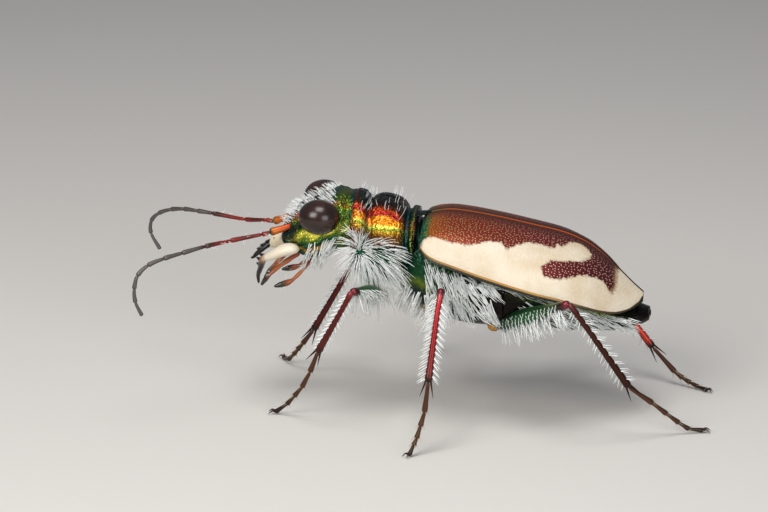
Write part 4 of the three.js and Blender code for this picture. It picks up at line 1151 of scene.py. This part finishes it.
def thigh_rows(order, pair, skin):
    """Combed short bristles in rows along the sides of the thigh."""
    path, heading, down, across, thick = skin
    for angle in THIGH_ROWS:
        spot = np.arange(14 + int(9 * abs(math.sin(7 * angle))), 178, 9)
        out = down[spot] * math.cos(angle) + across[spot] * math.sin(angle)
        lie = out * 0.5 + heading[spot] * THIGH_ROW_LEAN[pair] + down[spot] * 0.45
        lie += random.normal(0, 0.08, lie.shape)
        reach = random.uniform(0.28, 0.42, len(spot))
        patch = leg_patch(order, spot, 0.1 + 0.004 * angle)
        leg_field.add(path[spot] + out * thick[spot] * 0.9, lie, reach, (0, 0, -0.1), 0.9, patch)


def shin_rows(order, pair, parts, fork):
    """Slanted spines in rows along the two edges of the shin."""
    path = smooth_path(parts["shin"], LEG_SPOTS)
    heading = unit(np.gradient(path, axis=0))
    for row, angle in enumerate(SHIN_ROWS):
        spot = np.arange(16 + 3 * row, 192, SHIN_SPINE_STEP[pair])
        upright = unit(np.cross(heading[spot], fork))
        out = fork * math.cos(angle) + upright * math.sin(angle)
        lie = heading[spot] * 0.6 + out * 0.8 + random.normal(0, 0.06, (len(spot), 3))
        reach = SHIN_SPINE_REACH[pair] * random.uniform(0.85, 1.15, len(spot))
        patch = leg_patch(order, spot, 0.13 + 0.003 * row)
        leg_field.add(path[spot] + out * 0.1, lie, reach, (0, 0, 0), 1.3, patch)


def foot_bristles(order, parts, fork):
    """Short bristles round each joint of the foot, none of them into the floor."""
    joints = np.array(parts["foot"])
    for k in range(1, FOOT_JOINTS + 1):
        ahead = unit(joints[k] - joints[k - 1])
        upright = unit(np.cross(ahead, fork))
        for step in range(FOOT_BRISTLES):
            angle = step * 2 * math.pi / FOOT_BRISTLES
            out = fork * math.cos(angle) + upright * math.sin(angle)
            if joints[k][2] + (ahead * 0.3 + out * 0.2)[2] < FOOT_BRISTLE_LOW:
                continue
            patch = (0.1 + 0.15 * k, 0.05 + 0.15 * order + 0.01 * step)
            root = joints[k] - ahead * 0.08 + out * 0.07
            spine_field.add(root, [ahead * 0.8 + out * 0.6], [0.26], (0, 0, 0), 0.8, patch)


leg_field, spine_field = Field(), Field()
for order, (leg, parts) in enumerate(LEGS.items()):
    pair = leg.split("_")[0]
    stout = THIGH_STOUT[pair]
    down = unit(np.array(parts["shin"][2]) - np.array(parts["shin"][1]))
    fork = unit(np.cross([0, 1.0, 0], down))
    hip_piece(leg, parts)
    thigh_piece(leg, parts, stout)
    shin_piece(leg, parts, down, fork)
    foot_piece(leg, parts)
    skin = thigh_skin(parts, stout)
    thigh_fringe(order, pair, skin)
    thigh_rows(order, pair, skin)
    shin_rows(order, pair, parts, fork)
    foot_bristles(order, parts, fork)

# coats: where bristles grow on a body, which way they lie, how far they lift off it and reach
HEAD_ZONES = {
    "brow": dict(count=310, x=(-5.8, -3.5), turn=(0.08, 0.25), way=(-0.6, 0.15, 0.7), lift=0.6,
                 reach=(0.25, 0.48), sag=(-0.2, 0, -0.1), stout=0.9, gather=0.05, stray=0.32),
    "cheeks": dict(count=140, x=(-4.7, -3.5), turn=(0.56, 0.78), way=(-0.55, 0.25, -0.8), lift=0.35,
                   reach=(0.45, 0.75), sag=(0, 0, -0.1), stout=1.2, gather=0.45),
    "throat": dict(count=80, x=(-5.0, -3.9), turn=(0.78, 0.97), way=(-0.5, 0.05, -1.0), lift=0.4,
                   reach=(0.45, 0.75), sag=(0, 0, -0.1), stout=1.2, gather=0.45),
}
COLLAR_ZONES = {
    "top": dict(count=58, x=(-2.7, -0.6), turn=(0.03, 0.3), way=(-0.1, 0.25, 0.9), lift=1.0,
                reach=(0.3, 0.5), sag=(0.1, 0, 0), stout=0.65, gather=0, stray=0.3),
}
TRUNK_ZONES = {
    "low_front": dict(count=150, x=(-0.7, 0.2), turn=(0.62, 0.86), way=(-0.35, 0.1, -1.0), lift=0.5,
                      reach=(0.6, 0.95), sag=(0, 0, -0.1), stout=1.1, gather=0.45),
    "side_front": dict(count=440, x=(0.3, 2.0), turn=(0.36, 0.64), way=(0.1, 0.25, -1.0), lift=0.35,
                       reach=(0.5, 1.0), sag=(0.35, 0, -0.1), stout=1.05, gather=0.4),
    "side_hind": dict(count=320, x=(1.5, 3.3), turn=(0.42, 0.66), way=(0.6, 0.2, -1.0), lift=0.3,
                      reach=(0.5, 1.0), sag=(0.2, 0, 0.05), stout=1.05, gather=0.6),
    "under_wings": dict(count=330, x=(1.6, 4.4), turn=(0.37, 0.47), way=(1.0, 0.15, -0.3), lift=0.12,
                        reach=(0.4, 0.75), sag=(0.05, 0, -0.05), stout=1.0, gather=0.5),
}
BELLY_ZONES = {
    "sides": dict(count=620, x=(4.3, 9.1), turn=(0.44, 0.72), way=(1.0, 0.1, -0.35), lift=0.18,
                  reach=(0.4, 0.85), sag=(0.1, 0, -0.04), stout=1.25, gather=0.45),
}
WHORL = np.array([-2.5, 7.4])
WHORL_BRISTLES = 900
WHORL_CROWDED = 0.5
HIP_BRISTLES = {"fore": 18, "mid": 44, "hind": 0}


def grow(field, stations, zones):
    for zone in zones.values():
        bristles_on_body(field, stations, **zone)


def whorl(field):
    """The round whorl below the collar: bristles run out from its centre and crowd near it."""
    root, out, _, patch = body_roots(PROTHORAX, 2 * WHORL_BRISTLES, (-2.9, -0.95), (0.46, 0.78))
    ray = root[:, [0, 2]] - WHORL
    crowd = 0.36 + 0.64 * hump(np.linalg.norm(ray, axis=1), 0, WHORL_CROWDED)
    kept = random.uniform(0, 1, len(root)) < crowd
    root, out, patch, ray = root[kept], out[kept], patch[kept], ray[kept]
    ray = unit(ray + random.normal(0, 0.12, ray.shape))
    level = np.stack([ray[:, 0], np.zeros(len(ray)), ray[:, 1]], -1)
    lie = unit(level + 0.42 * out + random.normal(0, 0.12, out.shape))
    lie, reach = wisps(root, lie, random.uniform(0.6, 1.15, len(root)), 0.22, 6)
    field.add(root - out * SUNK, lie, reach, (0.04, 0, -0.22), 0.85, patch)


def hip_bristles(field, leg, hip):
    count, side = HIP_BRISTLES[leg.split("_")[0]], side_of(leg)
    spot = random.uniform(0, 1, (count, 1))
    start, end = np.array(hip)
    out = unit(np.stack([random.uniform(-1, 1, count), side * random.uniform(0.3, 1.2, count),
                         random.uniform(-1, 0.2, count)], -1))
    patch = np.stack([0.1 + 0.3 * spot[:, 0], np.full(count, 0.5 + side * 0.47)], -1)
    field.add(start + (end - start) * spot + out * 0.4, out + [0, 0, -0.7],
              random.uniform(0.5, 0.9, count), (0, 0, -0.15), 1.0, patch)


def stem_bristles(field, path, count, spots, droop, off, way, reach, patch):
    """Single bristles that stand off a feeler or a palp all round."""
    stem = smooth_path(path, 61)
    spot = random.integers(*spots, count)
    out = unit(random.normal(0, 1, (count, 3)) + [0, 0, droop])
    field.add(stem[spot] + out * off, out + way, random.uniform(*reach, count), (0, 0, 0), 0.5,
              np.stack([patch[0] + spot / 900, np.full(count, patch[1])], -1))


head_field, collar_field, trunk_field, belly_field = Field(), Field(), Field(), Field()
grow(head_field, HEAD, HEAD_ZONES)
for joints in FEELERS.values():
    stem_bristles(head_field, joints[1:5], count=34, spots=(0, 60), droop=0, off=0.06, way=[0.9, 0, -0.2],
                  reach=(0.2, 0.34), patch=(0.03, 0.02))
whorl(collar_field)
grow(collar_field, PROTHORAX, COLLAR_ZONES)
grow(trunk_field, TRUNK, TRUNK_ZONES)
grow(belly_field, TRUNK, BELLY_ZONES)
for leg, parts in LEGS.items():
    hip_bristles(trunk_field, leg, parts["hip"])
for path in (MAXILLARY, LABIAL):
    for side in (1, -1):
        stem_bristles(head_field, mirrored(path, side), count=18, spots=(8, 56), droop=-0.5, off=0.07,
                      way=[-0.6, 0, -0.3], reach=(0.2, 0.36), patch=(0.9, 0.5 + 0.46 * side))
finish_piece(head_field.piece("coat_head", 0.024, bristle_finish), "head_shell")
finish_piece(collar_field.piece("coat_collar", 0.026, bristle_finish), "collar_shell")
finish_piece(trunk_field.piece("coat_trunk", 0.03, bristle_finish), "trunk_shell")
finish_piece(belly_field.piece("coat_belly", 0.022, bristle_finish), "belly_shell")
finish_piece(leg_field.piece("coat_legs", 0.028, bristle_finish), "thigh")
finish_piece(spine_field.piece("spines_feet", 0.02, spine_finish), "foot")

# floor, with its sizes in metres
floor_mesh = bpy.data.meshes.new("floor")
floor_mesh.from_pydata([(-0.6, -0.4, 0), (0.6, -0.4, 0), (0.6, 0.8, 0), (-0.6, 0.8, 0)], [], [(0, 1, 2, 3)])
floor_mesh.materials.append(plain_finish("floor_pale", (0.64, 0.61, 0.57), (0.625, 0.595, 0.555), 0.8, 20))
floor = place_piece("floor", floor_mesh)

# light
SKY_COLOUR = (0.8, 0.85, 0.95, 1)
SKY_STRENGTH = 0.24
world = bpy.data.worlds.new("studio")
bpy.context.scene.world = world
world.use_nodes = True
sky = world.node_tree.nodes["Background"]
sky.inputs["Color"].default_value = SKY_COLOUR
sky.inputs["Strength"].default_value = SKY_STRENGTH


def look_along(thing, way):
    """Turn a lamp or the camera to look along way, upright."""
    thing.rotation_euler = Vector(way).to_track_quat("-Z", "Y").to_euler()


def soft_light(name, place, aim, size, power, colour):
    light = bpy.data.lights.new(name, "AREA")
    light.size, light.energy, light.color = size * MM, power, colour
    lamp = place_piece(name, light)
    lamp.location = np.array(place) * MM
    look_along(lamp, np.array(aim, float) - np.array(place, float))


soft_light("key", (-55, -85, 75), (0, 0, 5), 60, 0.1, (1, 0.98, 0.95))
soft_light("fill", (65, -95, 40), (2, 0, 4), 60, 0.05, (0.97, 0.98, 1))
soft_light("top", (0, -25, 110), (0, 0, 5), 50, 0.06, (1, 1, 1))

# camera: round toward the tail and up from the left side, its target set off the middle of the picture
ROUND, UP, DISTANCE = math.radians(5), math.radians(18), 160
TARGET = np.array([1.25, 0, 4.75])
LENS, SENSOR = 172.5, 36
LENS_PIXELS = 3680
TARGET_RIGHT, TARGET_BELOW = 66, 44
camera_data = bpy.data.cameras.new("camera")
camera_data.lens, camera_data.sensor_width = LENS, SENSOR
camera_data.clip_start, camera_data.clip_end = 0.005, 5
camera = place_piece("camera", camera_data)
back = np.array([math.sin(ROUND) * math.cos(UP), -math.cos(ROUND) * math.cos(UP), math.sin(UP)])
across_view = np.array([math.cos(ROUND), math.sin(ROUND), 0])
up_view = np.cross(back, across_view)
camera.location = (TARGET + back * DISTANCE) * MM
look_along(camera, -back * LENS_PIXELS - across_view * TARGET_RIGHT + up_view * TARGET_BELOW)
bpy.context.scene.camera = camera
bpy.context.scene.view_settings.view_transform = "Standard"
